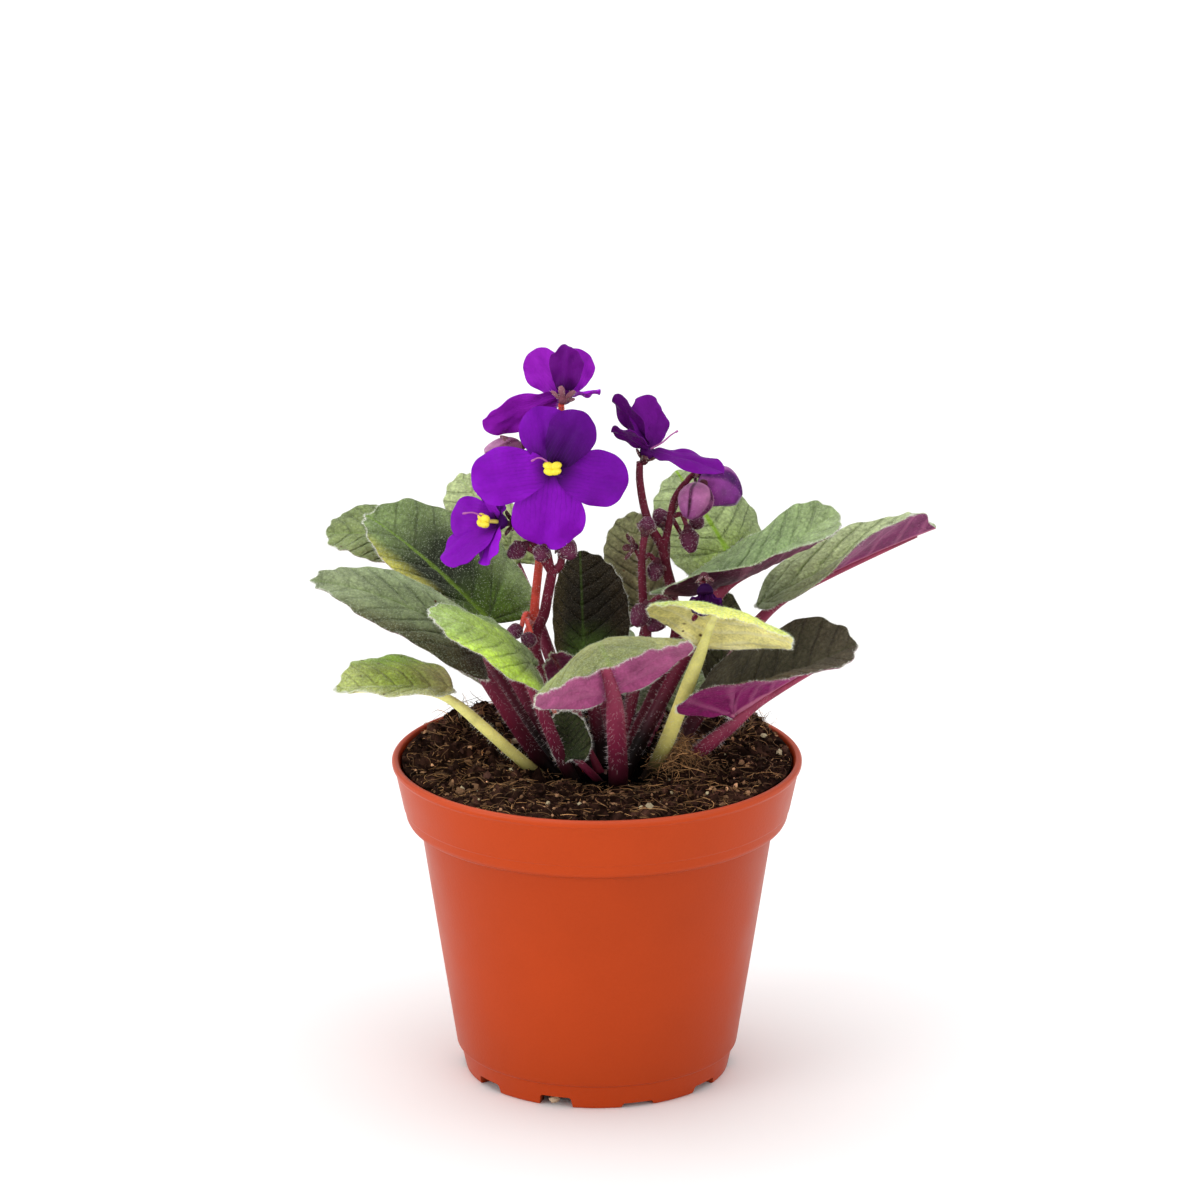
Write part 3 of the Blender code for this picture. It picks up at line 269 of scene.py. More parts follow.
def new_finish(name, **constants):
    """A new material: its tree and its Principled shader, with the given sockets set."""
    finish = bpy.data.materials.new(name)
    finish.use_nodes = True
    shader = finish.node_tree.nodes["Principled BSDF"]
    for socket, value in constants.items():
        shader.inputs[socket.replace("_", " ").title().replace("Ior", "IOR")].default_value = value
    return finish, finish.node_tree, shader


def show(tree, shader, colour, height, strength, distance):
    """Joins a colour to a shader, and a height as its bump."""
    tree.links.new(colour, shader.inputs["Base Color"])
    raised = add_node(tree, "Bump", {"Height": height, "Strength": strength, "Distance": distance})
    tree.links.new(raised.outputs[0], shader.inputs["Normal"])


def tinted_finish(name, amount, coarse, fine, bump, rough=(0.4, 0.5), **constants):
    """The mesh's own tint, mottled; roughness wanders between two values and the fine noise is a bump."""
    finish, tree, shader = new_finish(name, **constants)
    spots = mottled(tree, mesh_tint(tree)["Color"], amount, coarse, fine)
    wear = {"Value": spots["Worn"], "From Min": 0.3, "From Max": 0.7, "To Min": rough[0], "To Max": rough[1]}
    tree.links.new(add_node(tree, "MapRange", wear).outputs[0], shader.inputs["Roughness"])
    show(tree, shader, spots["Colour"], spots["Height"], bump, 0.0004)
    return finish


def block(turn, half_widths, rises, reaches):
    """A closed arch-shaped plug through the foot ring: its outline, across and up, carried outwards."""
    out, along = np.array([[math.cos(turn), math.sin(turn), 0], [-math.sin(turn), math.cos(turn), 0]])
    up = np.array([0, 0, 1.0])
    across = np.concatenate([-half_widths[::-1], half_widths])[::-1, None]
    rise = np.concatenate([rises[::-1], rises])[::-1, None]
    return np.stack([out * reach + along * across + up * rise for reach in reaches])


pot_plastic = tinted_finish(
    "pot_plastic", 0.10, 55.0, 1400.0, 0.10, rough=(0.33, 0.44), specular_ior_level=0.13,
)
profile = rounded(POT_CORNERS, 5)
turns = np.linspace(0, 2 * math.pi, 240, endpoint=False)
rings = turned(profile, turns)
POT_ORANGE = np.array([0.415, 0.044, 0.0045])
# Painted light and shade on the outside of the pot: painted shade under the band and at the foot step,
# painted light on the band and the lip.
POT_PAINTED_LIGHT = np.array([  # height, and what the orange is multiplied by there
    (0, 0.97), (7.4, 0.93), (8.2, 0.88), (12, 0.97), (60, 1), (74.5, 0.97), (76.3, 0.80), (78, 1.05),
    (92.5, 1.04), (94, 1.10), (95.5, 1.15),
])
WALL_MIDDLE = ([0, 8, 76, 77, 95.5], [37, 40.6, 51.2, 54, 58.6])  # heights, and the wall's middle radius


def pot_colour(radius, height):
    """The orange times painted light and shade: outside, read off a table by height, darker under the band
    and at the foot step and lighter on the band; inside the pot a little darker, and under it much darker.
    A painted highlight, brighter and paler, runs along the lip."""
    outside = radius > np.interp(height, *WALL_MIDDLE)
    shade = np.where(outside, np.interp(height, *POT_PAINTED_LIGHT.T), np.where(height < 8, 0.25, 0.92))
    # A painted highlight along the top of the lip.
    shade = np.where(height > 95.2, 1.3, shade)
    return shade[..., None] * POT_ORANGE + np.clip((height - 94.4) / 1.1, 0, 1)[..., None] * 0.03


pot = set_out("nursery_pot", [skin(rings)], [pot_plastic], ["pot"], crease=35)

# Ten arched openings through the foot ring, not all of one height, and nine round holes through the
# floor: one in its middle and eight in a circle round it.
plugs = []
RISES = np.array([1.4, 2.2, 3.0, 3.0, 3.0, 3.0, 3.0, 3.0, 2.8, 3.3])
HALF_WIDTHS = np.array([4.2, 4.7, 5.3])
HOLE_CIRCLE = 26
for number, tall in enumerate(RISES):
    turn = 2 * math.pi * (number + 0.5) / 10 - math.pi / 2
    plugs.append(skin(block(turn, HALF_WIDTHS, np.array([tall, tall - 0.5, -1.0]), (30, 45))))
drill = turned(np.array([(4.0, 2.0), (4.0, 5.6)]), np.linspace(0, 2 * math.pi, 28, endpoint=False))
for turn, circle in [(0, 0)] + [(2 * math.pi * i / 8, HOLE_CIRCLE) for i in range(8)]:
    plugs.append(skin(drill + [circle * math.cos(turn), circle * math.sin(turn), 0]))
cutter = set_out("openings", plugs, [pot_plastic])
cut = pot.modifiers.new("openings", "BOOLEAN")
cut.operation, cut.object, cut.solver = "DIFFERENCE", cutter, "EXACT"
opened = bpy.data.meshes.new_from_object(pot.evaluated_get(bpy.context.evaluated_depsgraph_get()))
pot.modifiers.clear()
pot.data = opened
opened.set_sharp_from_angle(angle=math.radians(35))
points = np.empty(3 * len(opened.vertices), np.float32)
opened.vertices.foreach_get("co", points)
points = (points.reshape(-1, 3) - POT_AXIS) / MM
tint = pot_colour(np.hypot(points[:, 0], points[:, 1]), points[:, 2])
tint = np.insert(tint, 3, 1, 1).astype(np.float32)
opened.color_attributes["tint"].data.foreach_set("color", tint.ravel())
bpy.data.objects.remove(cutter)


# ---- The soil bed ---------------------------------------------------------------------------------
# Peat and coir pressed into the pot by hand to just under its lip. It is heaped against the back wall,
# rises in a fibrous clump beside the stalks, and dips where the plant was set in.

SOIL_RADIUS = 57.0
SOIL_HEAPS = np.array([  # where it is heaped, how wide and how high
    (-42, 34, 13, 4.0), (45, 26, 12, 6.5), (24, -8, 7.0, 8.5), (-21, -8, 6.0, 2.6), (22, 48, 14, 1.5),
    (0, -16, 9.0, 1.2),
])
SOIL_LUMPS = ((1.5, 8.0), (1.5, 3.4), (1.1, 1.7), (0.6, 0.9))  # how high and how wide
CROWN = np.array([3.0, 2.0, 77.0])
CROWN_RADIUS = 13.0
soil_random = np.random.default_rng(11)


def from_crown(x, y):
    """How far out from the crown's upright axis."""
    return np.hypot(x - CROWN[0], y - CROWN[1])


def soil_height(x, y):
    """A shallow bowl that rises over a smooth step from the crown to the wall, plus a round bell for each
    heap that falls off at the wall, plus four sizes of lumps."""
    from_heap = (x[..., None] - SOIL_HEAPS[:, 0]) ** 2 + (y[..., None] - SOIL_HEAPS[:, 1]) ** 2
    bell = np.exp(-from_heap / SOIL_HEAPS[:, 2] ** 2)
    flat = np.stack([x, y, 0 * x], -1)
    rough = sum(high * lumps(flat, wide, seed) for seed, (high, wide) in enumerate(SOIL_LUMPS, 1))
    edge = np.clip((57.6 - np.hypot(x, y)) / 4.5, 0.12, 1)
    return 89.3 + 5.4 * eased(from_crown(x, y), 9, 45) + ((bell * SOIL_HEAPS[:, 3]).sum(-1) + rough) * edge


def painted_crown_shade(place):
    """What the tint is multiplied by: almost nothing within 16 mm of the crown's axis, painted shade where
    the leaves cover the bed, and 1 beyond 35 mm, with a smooth step between."""
    return (0.015 + 0.985 * eased(from_crown(place[..., 0], place[..., 1]), 16, 35))[..., None]


soil_finish = tinted_finish(
    "damp_peat", 1.0, 420.0, 2600.0, 1.0, rough=(0.85, 1.0), specular_ior_level=0.02,
)
turns = np.linspace(0, 2 * math.pi, 260, endpoint=False)
out = np.linspace(1, 0.012, 110)[:, None]
x, y = SOIL_RADIUS * out * np.cos(turns), SOIL_RADIUS * out * np.sin(turns)
bed = np.stack([x, y, soil_height(x, y)], -1)
side = turned(np.array([(36.6, 4.9), (39.7, 8.5), (49.7, 73.0), (53.7, 78.9), (56.2, 90.0)]), turns)
grain = np.exp(1.5 * lumps(bed, 1.3, 5) + 0.9 * lumps(bed, 4.0, 6))[..., None]
# The bed's tint is grainy, and painted shade darkens it round the crown.
bed_tint = np.array([0.025, 0.0115, 0.0080]) * grain * painted_crown_shade(bed)
soil_tint = np.concatenate([np.broadcast_to([0.020, 0.009, 0.006], side.shape), bed_tint])
bed_shell = skin(np.concatenate([side, bed]), tint=soil_tint)
set_out("soil_bed", [bed_shell], [soil_finish], ["soil"])


# ---- Crumbs, perlite and coir ---------------------------------------------------------------------
# Loose pieces on the bed: dark peat crumbs, a few cream grains of perlite, and the golden-brown coir
# fibres that stick out of the mix, thickest in the clump beside the stalks and on the right-hand heap.

ICOSAHEDRON = np.array([(0, s, t * 1.618) for s in (-1, 1) for t in (-1, 1)])
ICOSAHEDRON = np.vstack([ICOSAHEDRON, np.roll(ICOSAHEDRON, 1, 1), np.roll(ICOSAHEDRON, 2, 1)]) / 1.902


def hull_faces(points):
    """The twenty threes of corners whose sides are all the shortest distance, each turned outwards."""
    apart = np.linalg.norm(points[:, None] - points[None], axis=-1)
    near = (apart > 0.1) & (apart < 1.1)
    threes = [
        (i, j, k) for i, j, k in np.ndindex(12, 12, 12)
        if i < j < k and near[i, j] and near[j, k] and near[i, k]
    ]
    a, b, c = np.array(threes).T
    turned_in = np.einsum("ij,ij->i", np.cross(points[b] - points[a], points[c] - points[a]), points[a]) < 0
    return np.column_stack([a, np.where(turned_in, c, b), np.where(turned_in, b, c)])


def crumbs(places, sizes, squash, tint, random):
    """A twenty-sided grain at each place: its corners pushed in and out at random, then stretched and
    turned at random."""
    many = len(places)
    corners = ICOSAHEDRON * random.uniform(0.7, 1.25, (many, 12, 1)) * random.uniform(squash, 1, (many, 1, 3))
    turn = random.uniform(0, 2 * math.pi, (many, 1))
    c, s = np.cos(turn), np.sin(turn)
    x, y, z = np.moveaxis(corners, -1, 0)
    corners = np.stack([x * c - y * s, x * s + y * c, z], -1)
    points = places[:, None] + corners * sizes[:, None, None]
    tris = hull_faces(ICOSAHEDRON) + 12 * np.arange(many)[:, None, None]
    return shell(points.reshape(-1, 3), [], tris.reshape(-1, 3), tint=np.repeat(tint, 12, axis=0))


def on_bed(many, reach, random, lift=0.0):
    """Random places on the bed within a radius, evenly spread over its area."""
    radius, turn = reach * np.sqrt(random.uniform(0, 1, many)), random.uniform(0, 2 * math.pi, many)
    x, y = radius * np.cos(turn), radius * np.sin(turn)
    return np.column_stack([x, y, soil_height(x, y) + lift])


def tubes(paths, radii, sides):
    """Rings round each of many paths: every path's rings lie across its direction and are lined up on the
    one direction that the path leans towards least."""
    along = np.gradient(paths, axis=-2)
    along /= np.linalg.norm(along, axis=-1, keepdims=True)
    least = np.linalg.svd(along, full_matrices=False)[2][..., 2:3, :]
    side = least - along * (along * least).sum(-1, keepdims=True)
    side /= np.linalg.norm(side, axis=-1, keepdims=True)
    up = np.cross(along, side)
    turns = np.linspace(0, 2 * math.pi, sides, endpoint=False)[:, None]
    ring = np.cos(turns) * side[..., None, :] + np.sin(turns) * up[..., None, :]
    return paths[..., None, :] + radii[..., None, None] * ring


GOLDEN_CRUMB, DARK_CRUMB, SHADE_CRUMB_TINT = (0.250, 0.140, 0.075), (0.030, 0.0145, 0.0105), (0.012, 0.006, 0.004)
grains = on_bed(5200, 56.4, soil_random, 0.15)
sizes = np.exp(soil_random.normal(-0.35, 0.5, len(grains))) * 0.72
golden = soil_random.uniform(0, 1, (len(grains), 1)) < 0.24
shades = np.exp(soil_random.normal(0, 0.55, (len(grains), 1)))
crumb_tint = np.where(golden, GOLDEN_CRUMB, DARK_CRUMB) * shades

# Near-black crumbs under the floor, inside the foot ring behind one of its openings: painted shade, so
# that the opening looks dark inside.
SHADE_CRUMB_COUNT = 46
turn = np.radians(soil_random.uniform(-121, -95, SHADE_CRUMB_COUNT))
places = np.column_stack([np.cos(turn), np.sin(turn), 0 * turn])
places = places * soil_random.uniform(27, 34.4, (SHADE_CRUMB_COUNT, 1)) + [0, 0, 1.35]
shade_crumb_tint = np.tile(SHADE_CRUMB_TINT, (SHADE_CRUMB_COUNT, 1))
shade_crumbs = crumbs(places, soil_random.uniform(0.8, 1.25, SHADE_CRUMB_COUNT), 0.7, shade_crumb_tint, soil_random)
# Crumbs round the crown are darkened by the same painted shade.
loose = crumbs(grains, sizes, 0.4, crumb_tint * painted_crown_shade(grains), soil_random)
set_out("peat_crumbs", [loose, shade_crumbs], [soil_finish], crease=20)

perlite_finish = tinted_finish("perlite", 0.25, 500.0, 3000.0, 0.6, rough=(0.7, 0.9))
grains = on_bed(60, 55.5, soil_random, 0.3)
grains = grains[from_crown(grains[:, 0], grains[:, 1]) > 19]
sizes = soil_random.uniform(0.35, 1.15, len(grains)) ** 1.6
perlite_tint = np.array([0.66, 0.56, 0.34]) * soil_random.uniform(0.55, 1.15, (len(grains), 1))
foot_bit = np.array([[-12.2, -35.4, 1.85]])
foot_bit = crumbs(foot_bit, np.array([1.75]), 0.75, np.array([[0.42, 0.30, 0.19]]), soil_random)
perlite = crumbs(grains, sizes, 0.7, perlite_tint, soil_random)
set_out("perlite_grains", [perlite, foot_bit], [perlite_finish], crease=35)


def fibres(places, lengths, rise, random):
    """A bent thread from each place: it sets off at a random turn and slope and wanders sideways and down
    by a random cubic along its length."""
    many = len(places)
    turn, slope = random.uniform(0, 2 * math.pi, many), random.uniform(*rise, many)
    ahead = np.column_stack([np.cos(turn) * np.cos(slope), np.sin(turn) * np.cos(slope), np.sin(slope)])
    aside = np.column_stack([-np.sin(turn), np.cos(turn), 0 * turn])
    share = np.linspace(-0.5, 0.5, 8)[None, :, None]
    bend, wave, drop = random.uniform(-1.3, 1.3, (3, many, 1, 1))
    sideways = (bend * share ** 2 + 1.6 * wave * share ** 3) * aside[:, None]
    sinking = [0, 0, 1] * (-0.35 - 0.3 * drop) * share ** 2
    return places[:, None] + lengths[:, None, None] * (share * ahead[:, None] + sideways + sinking)


TUFTS = (  # the middle of each, how far its fibres spread and how many there are
    (24.5, -9.0, 3.8, 300), (45.0, 25.0, 5.0, 120), (-42.0, 33.0, 6.0, 90),
)
FIBRE_TAPER = np.array([0.5, 0.9, 1, 1, 1, 0.9, 0.7, 0.3])
COIR_TINT = np.array([0.240, 0.128, 0.052])
coir_finish = tinted_finish("coir", 0.5, 300.0, 2500.0, 0.4, rough=(0.6, 0.8), specular_ior_level=0.3)
lying = on_bed(2100, 56.0, soil_random, 0.35)
lying = lying[from_crown(lying[:, 0], lying[:, 1]) > 14]
raised = np.vstack([
    np.array([x, y]) + soil_random.normal(0, spread, (many, 2)) for x, y, spread, many in TUFTS
])
raised = raised[np.hypot(*raised.T) < 55]
raised = np.column_stack([raised, soil_height(*raised.T) + soil_random.uniform(0.0, 3.0, len(raised))])
paths = np.concatenate([
    fibres(lying, soil_random.uniform(2, 10, len(lying)), (-0.15, 0.25), soil_random),
    fibres(raised, soil_random.uniform(4, 13, len(raised)), (-0.3, 1.1), soil_random),
])
flat = np.hypot(paths[..., 0], paths[..., 1])
paths[..., :2] *= np.minimum(1, 56.8 / np.maximum(flat, 1))[..., None]
thick = soil_random.uniform(0.04, 0.13, (len(paths), 1)) * FIBRE_TAPER
coir_tint = COIR_TINT * np.exp(soil_random.normal(0, 0.65, (len(paths), 1, 1, 1)))
set_out("coir_fibres", [skin(tubes(paths, thick, 3), tint=coir_tint)], [coir_finish])


# ---- The crown ------------------------------------------------------------------------------------
# The plant's short woody stem, which stands in the soil. It is a low dome, knobbly with the scars of
# old leaves, and every leaf stalk and flower stalk grows out of it.

stalk_finish = tinted_finish(
    "stalk_skin", 0.35, 260.0, 1500.0, 0.25, rough=(0.42, 0.6), specular_ior_level=0.2,
)
rise = np.radians(np.linspace(22, 86, 18))
dome = np.column_stack([CROWN_RADIUS * np.cos(rise), CROWN[2] + CROWN_RADIUS * np.sin(rise)])
dome = np.vstack([[7.0, 67.6], [7.0, 81.0], dome])
rings = turned(dome, np.linspace(0, 2 * math.pi, 64, endpoint=False)) + [CROWN[0], CROWN[1], 0]
rings[2:] += 0.25 * lumps(rings[2:], 2.4, 21)[..., None]
crown_tint = np.array([0.085, 0.030, 0.022]) * (1 + 0.3 * lumps(rings, 1.8, 22)[..., None])
set_out("crown", [skin(rings, tint=crown_tint)], [stalk_finish], ["crown"])


# ---- The leaves -----------------------------------------------------------------------------------
# Each leaf is a thick, hairy blade, grey-green to lime or nearly black above and wine-red beneath,
# quilted between its veins, on a round maroon stalk that runs on under the blade as its midrib.

# foot, tip, left, right: where the stalk joins, the point, and the margins beside the middle.
# base: where the stalk leaves the crown, as degrees round it and up its dome. thick: the stalk's radius.
# droop, curl, twist: how many degrees the leaf bends along its length, each half bends across it, and each
# half turns about the midrib. back: how far its lobes reach behind the stalk, as a share of its length.
# blunt: how pointed its front and its back are. bow: how far the stalk is bent aside.
# The tints are of the upper face at five places and of the lower face at its ends, and hold painted light
# and shade as well as the leaves' own colours: leaves deep in the plant, such as 12, and the lower face of 09
# are painted darker, and the lower faces of 06 and 07 brighter. rib: how bright the midrib is. Every triple
# of a tint is red, green and blue.
USUAL_LEAF = dict(
    curl=(-20, -20), twist=(0, 0), back=0.25, blunt=(0.84, 0.95), bow=(0, 0, 0), thick=2.0, kind="green",
    stalk="maroon",
)
LEAVES = {  # what differs from the usual leaf
    "01": dict(
        foot=(-48, 34, 147.5), tip=(-79.5, 34, 152.5), left=(-62.5, 20, 148.5), right=(-61, 48, 157.5),
        base=(152, 30), droop=35, back=0.22, thick=2.1,
        tip_tint=(0.255, 0.318, 0.117), middle_tint=(0.223, 0.286, 0.101), foot_tint=(0.138, 0.180, 0.064),
        left_tint=(0.265, 0.318, 0.117), right_tint=(0.212, 0.276, 0.096),
        under_foot=(0.20, 0.03, 0.10), under_tip=(0.26, 0.06, 0.13), rib=0.2,
    ),
    "02": dict(
        foot=(-32, 9, 133.5), tip=(-67.5, 24, 161.5), left=(-54, 6, 143.5), right=(-31, 28, 154),
        base=(182, 50), droop=25, curl=(-15, -25), back=0.3, blunt=(1.08, 0.9), thick=2.2,
        tip_tint=(0.202, 0.280, 0.101), middle_tint=(0.020, 0.025, 0.013), foot_tint=(0.078, 0.141, 0.015),
        left_tint=(0.596, 0.564, 0.098), right_tint=(0.235, 0.314, 0.123),
        under_foot=(0.16, 0.02, 0.09), under_tip=(0.20, 0.04, 0.11), rib=0.5,
    ),
    "03": dict(
        foot=(-34.5, -8, 128.8), tip=(-82, -12, 152.5), left=(-54.8, -24, 138.3), right=(-55.5, 0, 150.5),
        base=(175, 30), droop=45, curl=(-30, -30), back=0.2, blunt=(1.35, 0.9), thick=2.3,
        tip_tint=(0.291, 0.347, 0.179), middle_tint=(0.195, 0.247, 0.111), foot_tint=(0.034, 0.013, 0.005),
        left_tint=(0.078, 0.072, 0.031), right_tint=(0.325, 0.403, 0.208),
        under_foot=(0.16, 0.02, 0.08), under_tip=(0.20, 0.05, 0.10), rib=0.1,
    ),
    "04": dict(
        foot=(-19.2, -22, 130.5), tip=(-47.5, -32, 148), left=(-34.5, -42, 139), right=(-30.5, -14, 140.5),
        base=(232, 34), droop=35, curl=(-30, -30), back=0.3, kind="lime",
        tip_tint=(0.392, 0.553, 0.149), middle_tint=(0.329, 0.467, 0.084), foot_tint=(0.192, 0.243, 0.102),
        left_tint=(0.589, 0.845, 0.090), right_tint=(0.218, 0.307, 0.128),
        under_foot=(0.22, 0.05, 0.11), under_tip=(0.25, 0.12, 0.10), rib=0.2,
    ),
    "05": dict(
        foot=(-42.5, -14, 120), tip=(-75.5, -20, 121.7), left=(-57.9, -30, 123.7), right=(-53.5, 8, 123.1),
        base=(202, 28), droop=14, curl=(-10, -30), back=0.06, blunt=(2.1, 1), thick=1.8, kind="lime",
        stalk="yellow",
        tip_tint=(0.520, 0.611, 0.182), middle_tint=(0.370, 0.500, 0.075), foot_tint=(0.585, 0.598, 0.208),
        left_tint=(0.572, 0.598, 0.234), right_tint=(0.257, 0.472, 0.020),
        under_foot=(0.52, 0.46, 0.17), under_tip=(0.42, 0.42, 0.12), rib=0.3,
    ),
    "06": dict(
        foot=(4.5, -24, 123), tip=(3.5, -64, 143.5), left=(26.5, -46, 146.5), right=(-18, -50, 129.5),
        base=(285, 32), droop=100, back=0.1, blunt=(1, 1.4), thick=3.0,
        tip_tint=(0.234, 0.260, 0.091), middle_tint=(0.429, 0.429, 0.156), foot_tint=(0.338, 0.312, 0.117),
        left_tint=(0.494, 0.481, 0.195), right_tint=(0.338, 0.390, 0.117),
        under_foot=(0.38, 0.08, 0.21), under_tip=(0.515, 0.192, 0.324), rib=0.15,
    ),
    "07": dict(
        foot=(30.6, -16, 134.3), tip=(35.3, -50, 153.5), left=(56.7, -38, 143.5), right=(15.1, -34, 152.1),
        base=(322, 34), droop=70, back=0, blunt=(0.9, 1.5), thick=2.3, kind="lime", stalk="yellow",
        tip_tint=(0.922, 0.950, 0.205), middle_tint=(0.704, 0.896, 0.154), foot_tint=(0.589, 0.666, 0.154),
        left_tint=(0.845, 0.950, 0.179), right_tint=(0.640, 0.794, 0.141),
        under_foot=(0.86, 0.78, 0.32), under_tip=(0.84, 0.80, 0.28), rib=0.3,
    ),
    "08": dict(
        foot=(39.5, -14, 112.5), tip=(75, -14, 133.5), left=(59.5, 4, 138.5), right=(53, -34, 131.5),
        base=(346, 33), droop=10, twist=(10, 54), back=0.45, thick=2.3, kind="dark",
        tip_tint=(0.112, 0.096, 0.060), middle_tint=(0.091, 0.084, 0.050), foot_tint=(0.085, 0.074, 0.042),
        left_tint=(0.114, 0.102, 0.060), right_tint=(0.131, 0.102, 0.066),
        under_foot=(0.20, 0.012, 0.10), under_tip=(0.307, 0.036, 0.165), rib=0.1,
    ),
    # 09's lower face is painted near-black: painted shade.
    "09": dict(
        foot=(34.5, -2, 148.8), tip=(69.1, 6, 167.9), left=(42.9, 14, 157.7), right=(44.4, -24, 159.6),
        base=(312, 62), droop=-20, curl=(-10, 38), twist=(30, 15), back=0.68, blunt=(0.6, 0.8), thick=2.2,
        tip_tint=(0.331, 0.428, 0.193), middle_tint=(0.276, 0.386, 0.166), foot_tint=(0.193, 0.276, 0.110),
        left_tint=(0.304, 0.414, 0.179), right_tint=(0.331, 0.442, 0.193),
        under_foot=(0.050, 0.004, 0.024), under_tip=(0.16, 0.018, 0.075), rib=0.05,
    ),
    "10": dict(
        foot=(48.3, 12, 138.1), tip=(98.4, 16, 160.4), left=(70.7, 24, 156.9), right=(69.1, -5, 154.2),
        base=(10, 32), droop=6, curl=(-30, -20), twist=(0, -50), back=0.06, blunt=(0.9, 1.6), bow=(0, 5, 0),
        thick=2.2,
        tip_tint=(0.581, 0.666, 0.375), middle_tint=(0.545, 0.628, 0.318), foot_tint=(0.291, 0.343, 0.187),
        left_tint=(0.581, 0.666, 0.356), right_tint=(0.545, 0.628, 0.318),
        under_foot=(0.15, 0.014, 0.07), under_tip=(0.190, 0.039, 0.115), rib=0.05,
    ),
    "11": dict(
        foot=(-23.5, 32, 145.5), tip=(-41, 47, 167), left=(-47, 38, 157.5), right=(-29, 47, 165.5),
        base=(120, 50), droop=25,
        tip_tint=(0.576, 0.677, 0.324), middle_tint=(0.518, 0.619, 0.276), foot_tint=(0.346, 0.432, 0.156),
        left_tint=(0.576, 0.677, 0.312), right_tint=(0.518, 0.619, 0.276),
        under_foot=(0.18, 0.03, 0.09), under_tip=(0.20, 0.05, 0.10), rib=0.2,
    ),
    # 12 stands deep in the plant; its near-black tints are partly painted shade.
    "12": dict(
        foot=(-4, 12, 122.5), tip=(-5, 30, 148.5), left=(-13, 22, 132.5), right=(9.5, 22, 132.5),
        base=(98, 64), droop=15, curl=(-25, -25), kind="dark",
        tip_tint=(0.019, 0.013, 0.004), middle_tint=(0.010, 0.007, 0.002), foot_tint=(0.042, 0.077, 0.010),
        left_tint=(0.046, 0.034, 0.009), right_tint=(0.028, 0.018, 0.007),
        under_foot=(0.10, 0.012, 0.05), under_tip=(0.12, 0.02, 0.06), rib=0.25,
    ),
    "13": dict(
        foot=(15.5, 28, 131), tip=(10.5, 44, 156.5), left=(1, 38, 144), right=(21, 38, 145),
        base=(77, 34), droop=15, kind="dark",
        tip_tint=(0.238, 0.246, 0.111), middle_tint=(0.182, 0.161, 0.076), foot_tint=(0.146, 0.141, 0.061),
        left_tint=(0.238, 0.237, 0.111), right_tint=(0.182, 0.169, 0.086),
        under_foot=(0.10, 0.012, 0.05), under_tip=(0.12, 0.02, 0.06), rib=0.15,
    ),
    "14": dict(
        foot=(38.5, 28, 149), tip=(23.5, 46, 168.5), left=(12, 40, 159.5), right=(49, 40, 153.5),
        base=(42, 58), droop=20,
        tip_tint=(0.431, 0.532, 0.245), middle_tint=(0.389, 0.489, 0.201), foot_tint=(0.275, 0.375, 0.100),
        left_tint=(0.345, 0.431, 0.172), right_tint=(0.297, 0.372, 0.160),
        under_foot=(0.15, 0.02, 0.07), under_tip=(0.18, 0.04, 0.09), rib=1.0,
    ),
    "15": dict(
        foot=(37.5, 16, 113.5), tip=(35, 34, 136.5), left=(29.5, 28, 123.5), right=(44.5, 26, 124.5),
        base=(33, 32), droop=15, back=0.12, thick=1.9, kind="dark",
        tip_tint=(0.069, 0.071, 0.029), middle_tint=(0.052, 0.052, 0.021), foot_tint=(0.052, 0.052, 0.021),
        left_tint=(0.069, 0.069, 0.029), right_tint=(0.057, 0.057, 0.023),
        under_foot=(0.10, 0.012, 0.05), under_tip=(0.12, 0.02, 0.06), rib=0.2,
    ),
    "16": dict(
        foot=(-7.2, -14, 99.6), tip=(-10.1, -11, 112.4), left=(-14.2, -12, 106.3), right=(-2.6, -14, 108.5),
        base=(268, 50), droop=10, back=0.2, thick=1.2, kind="dark",
        tip_tint=(0.046, 0.057, 0.021), middle_tint=(0.025, 0.032, 0.011), foot_tint=(0.023, 0.034, 0.011),
        left_tint=(0.046, 0.057, 0.021), right_tint=(0.040, 0.052, 0.017),
        under_foot=(0.10, 0.012, 0.05), under_tip=(0.12, 0.02, 0.06), rib=0.1,
    ),
    "17": dict(
        foot=(-7, -5, 116), tip=(-13.5, -22, 134), left=(-2.5, -20, 131), right=(-16.5, -24, 130),
        base=(218, 62), droop=40, back=0.05, thick=1.5,
        tip_tint=(0.138, 0.172, 0.069), middle_tint=(0.103, 0.127, 0.052), foot_tint=(0.092, 0.103, 0.034),
        left_tint=(0.138, 0.172, 0.069), right_tint=(0.138, 0.172, 0.069),
        under_foot=(0.20, 0.02, 0.10), under_tip=(0.26, 0.04, 0.13), rib=0.2,
    ),
    "18": dict(
        foot=(-27.5, 34, 107), tip=(-47.5, 62, 111.5), left=(-43, 30, 114.5), right=(-29.5, 66, 114),
        base=(131, 33), droop=40,
        tip_tint=(0.253, 0.322, 0.149), middle_tint=(0.184, 0.241, 0.103), foot_tint=(0.115, 0.161, 0.057),
        left_tint=(0.230, 0.287, 0.127), right_tint=(0.207, 0.276, 0.115),
        under_foot=(0.17, 0.02, 0.09), under_tip=(0.20, 0.04, 0.11), rib=0.4,
    ),
    "19": dict(
        foot=(19, 34, 101.5), tip=(32.5, 66, 109.5), left=(19, 70, 109), right=(37, 44, 107),
        base=(55, 38), droop=40,
        tip_tint=(0.230, 0.299, 0.138), middle_tint=(0.172, 0.230, 0.098), foot_tint=(0.115, 0.149, 0.057),
        left_tint=(0.207, 0.276, 0.115), right_tint=(0.196, 0.253, 0.103),
        under_foot=(0.17, 0.02, 0.09), under_tip=(0.20, 0.04, 0.11), rib=0.4,
    ),
    "20": dict(
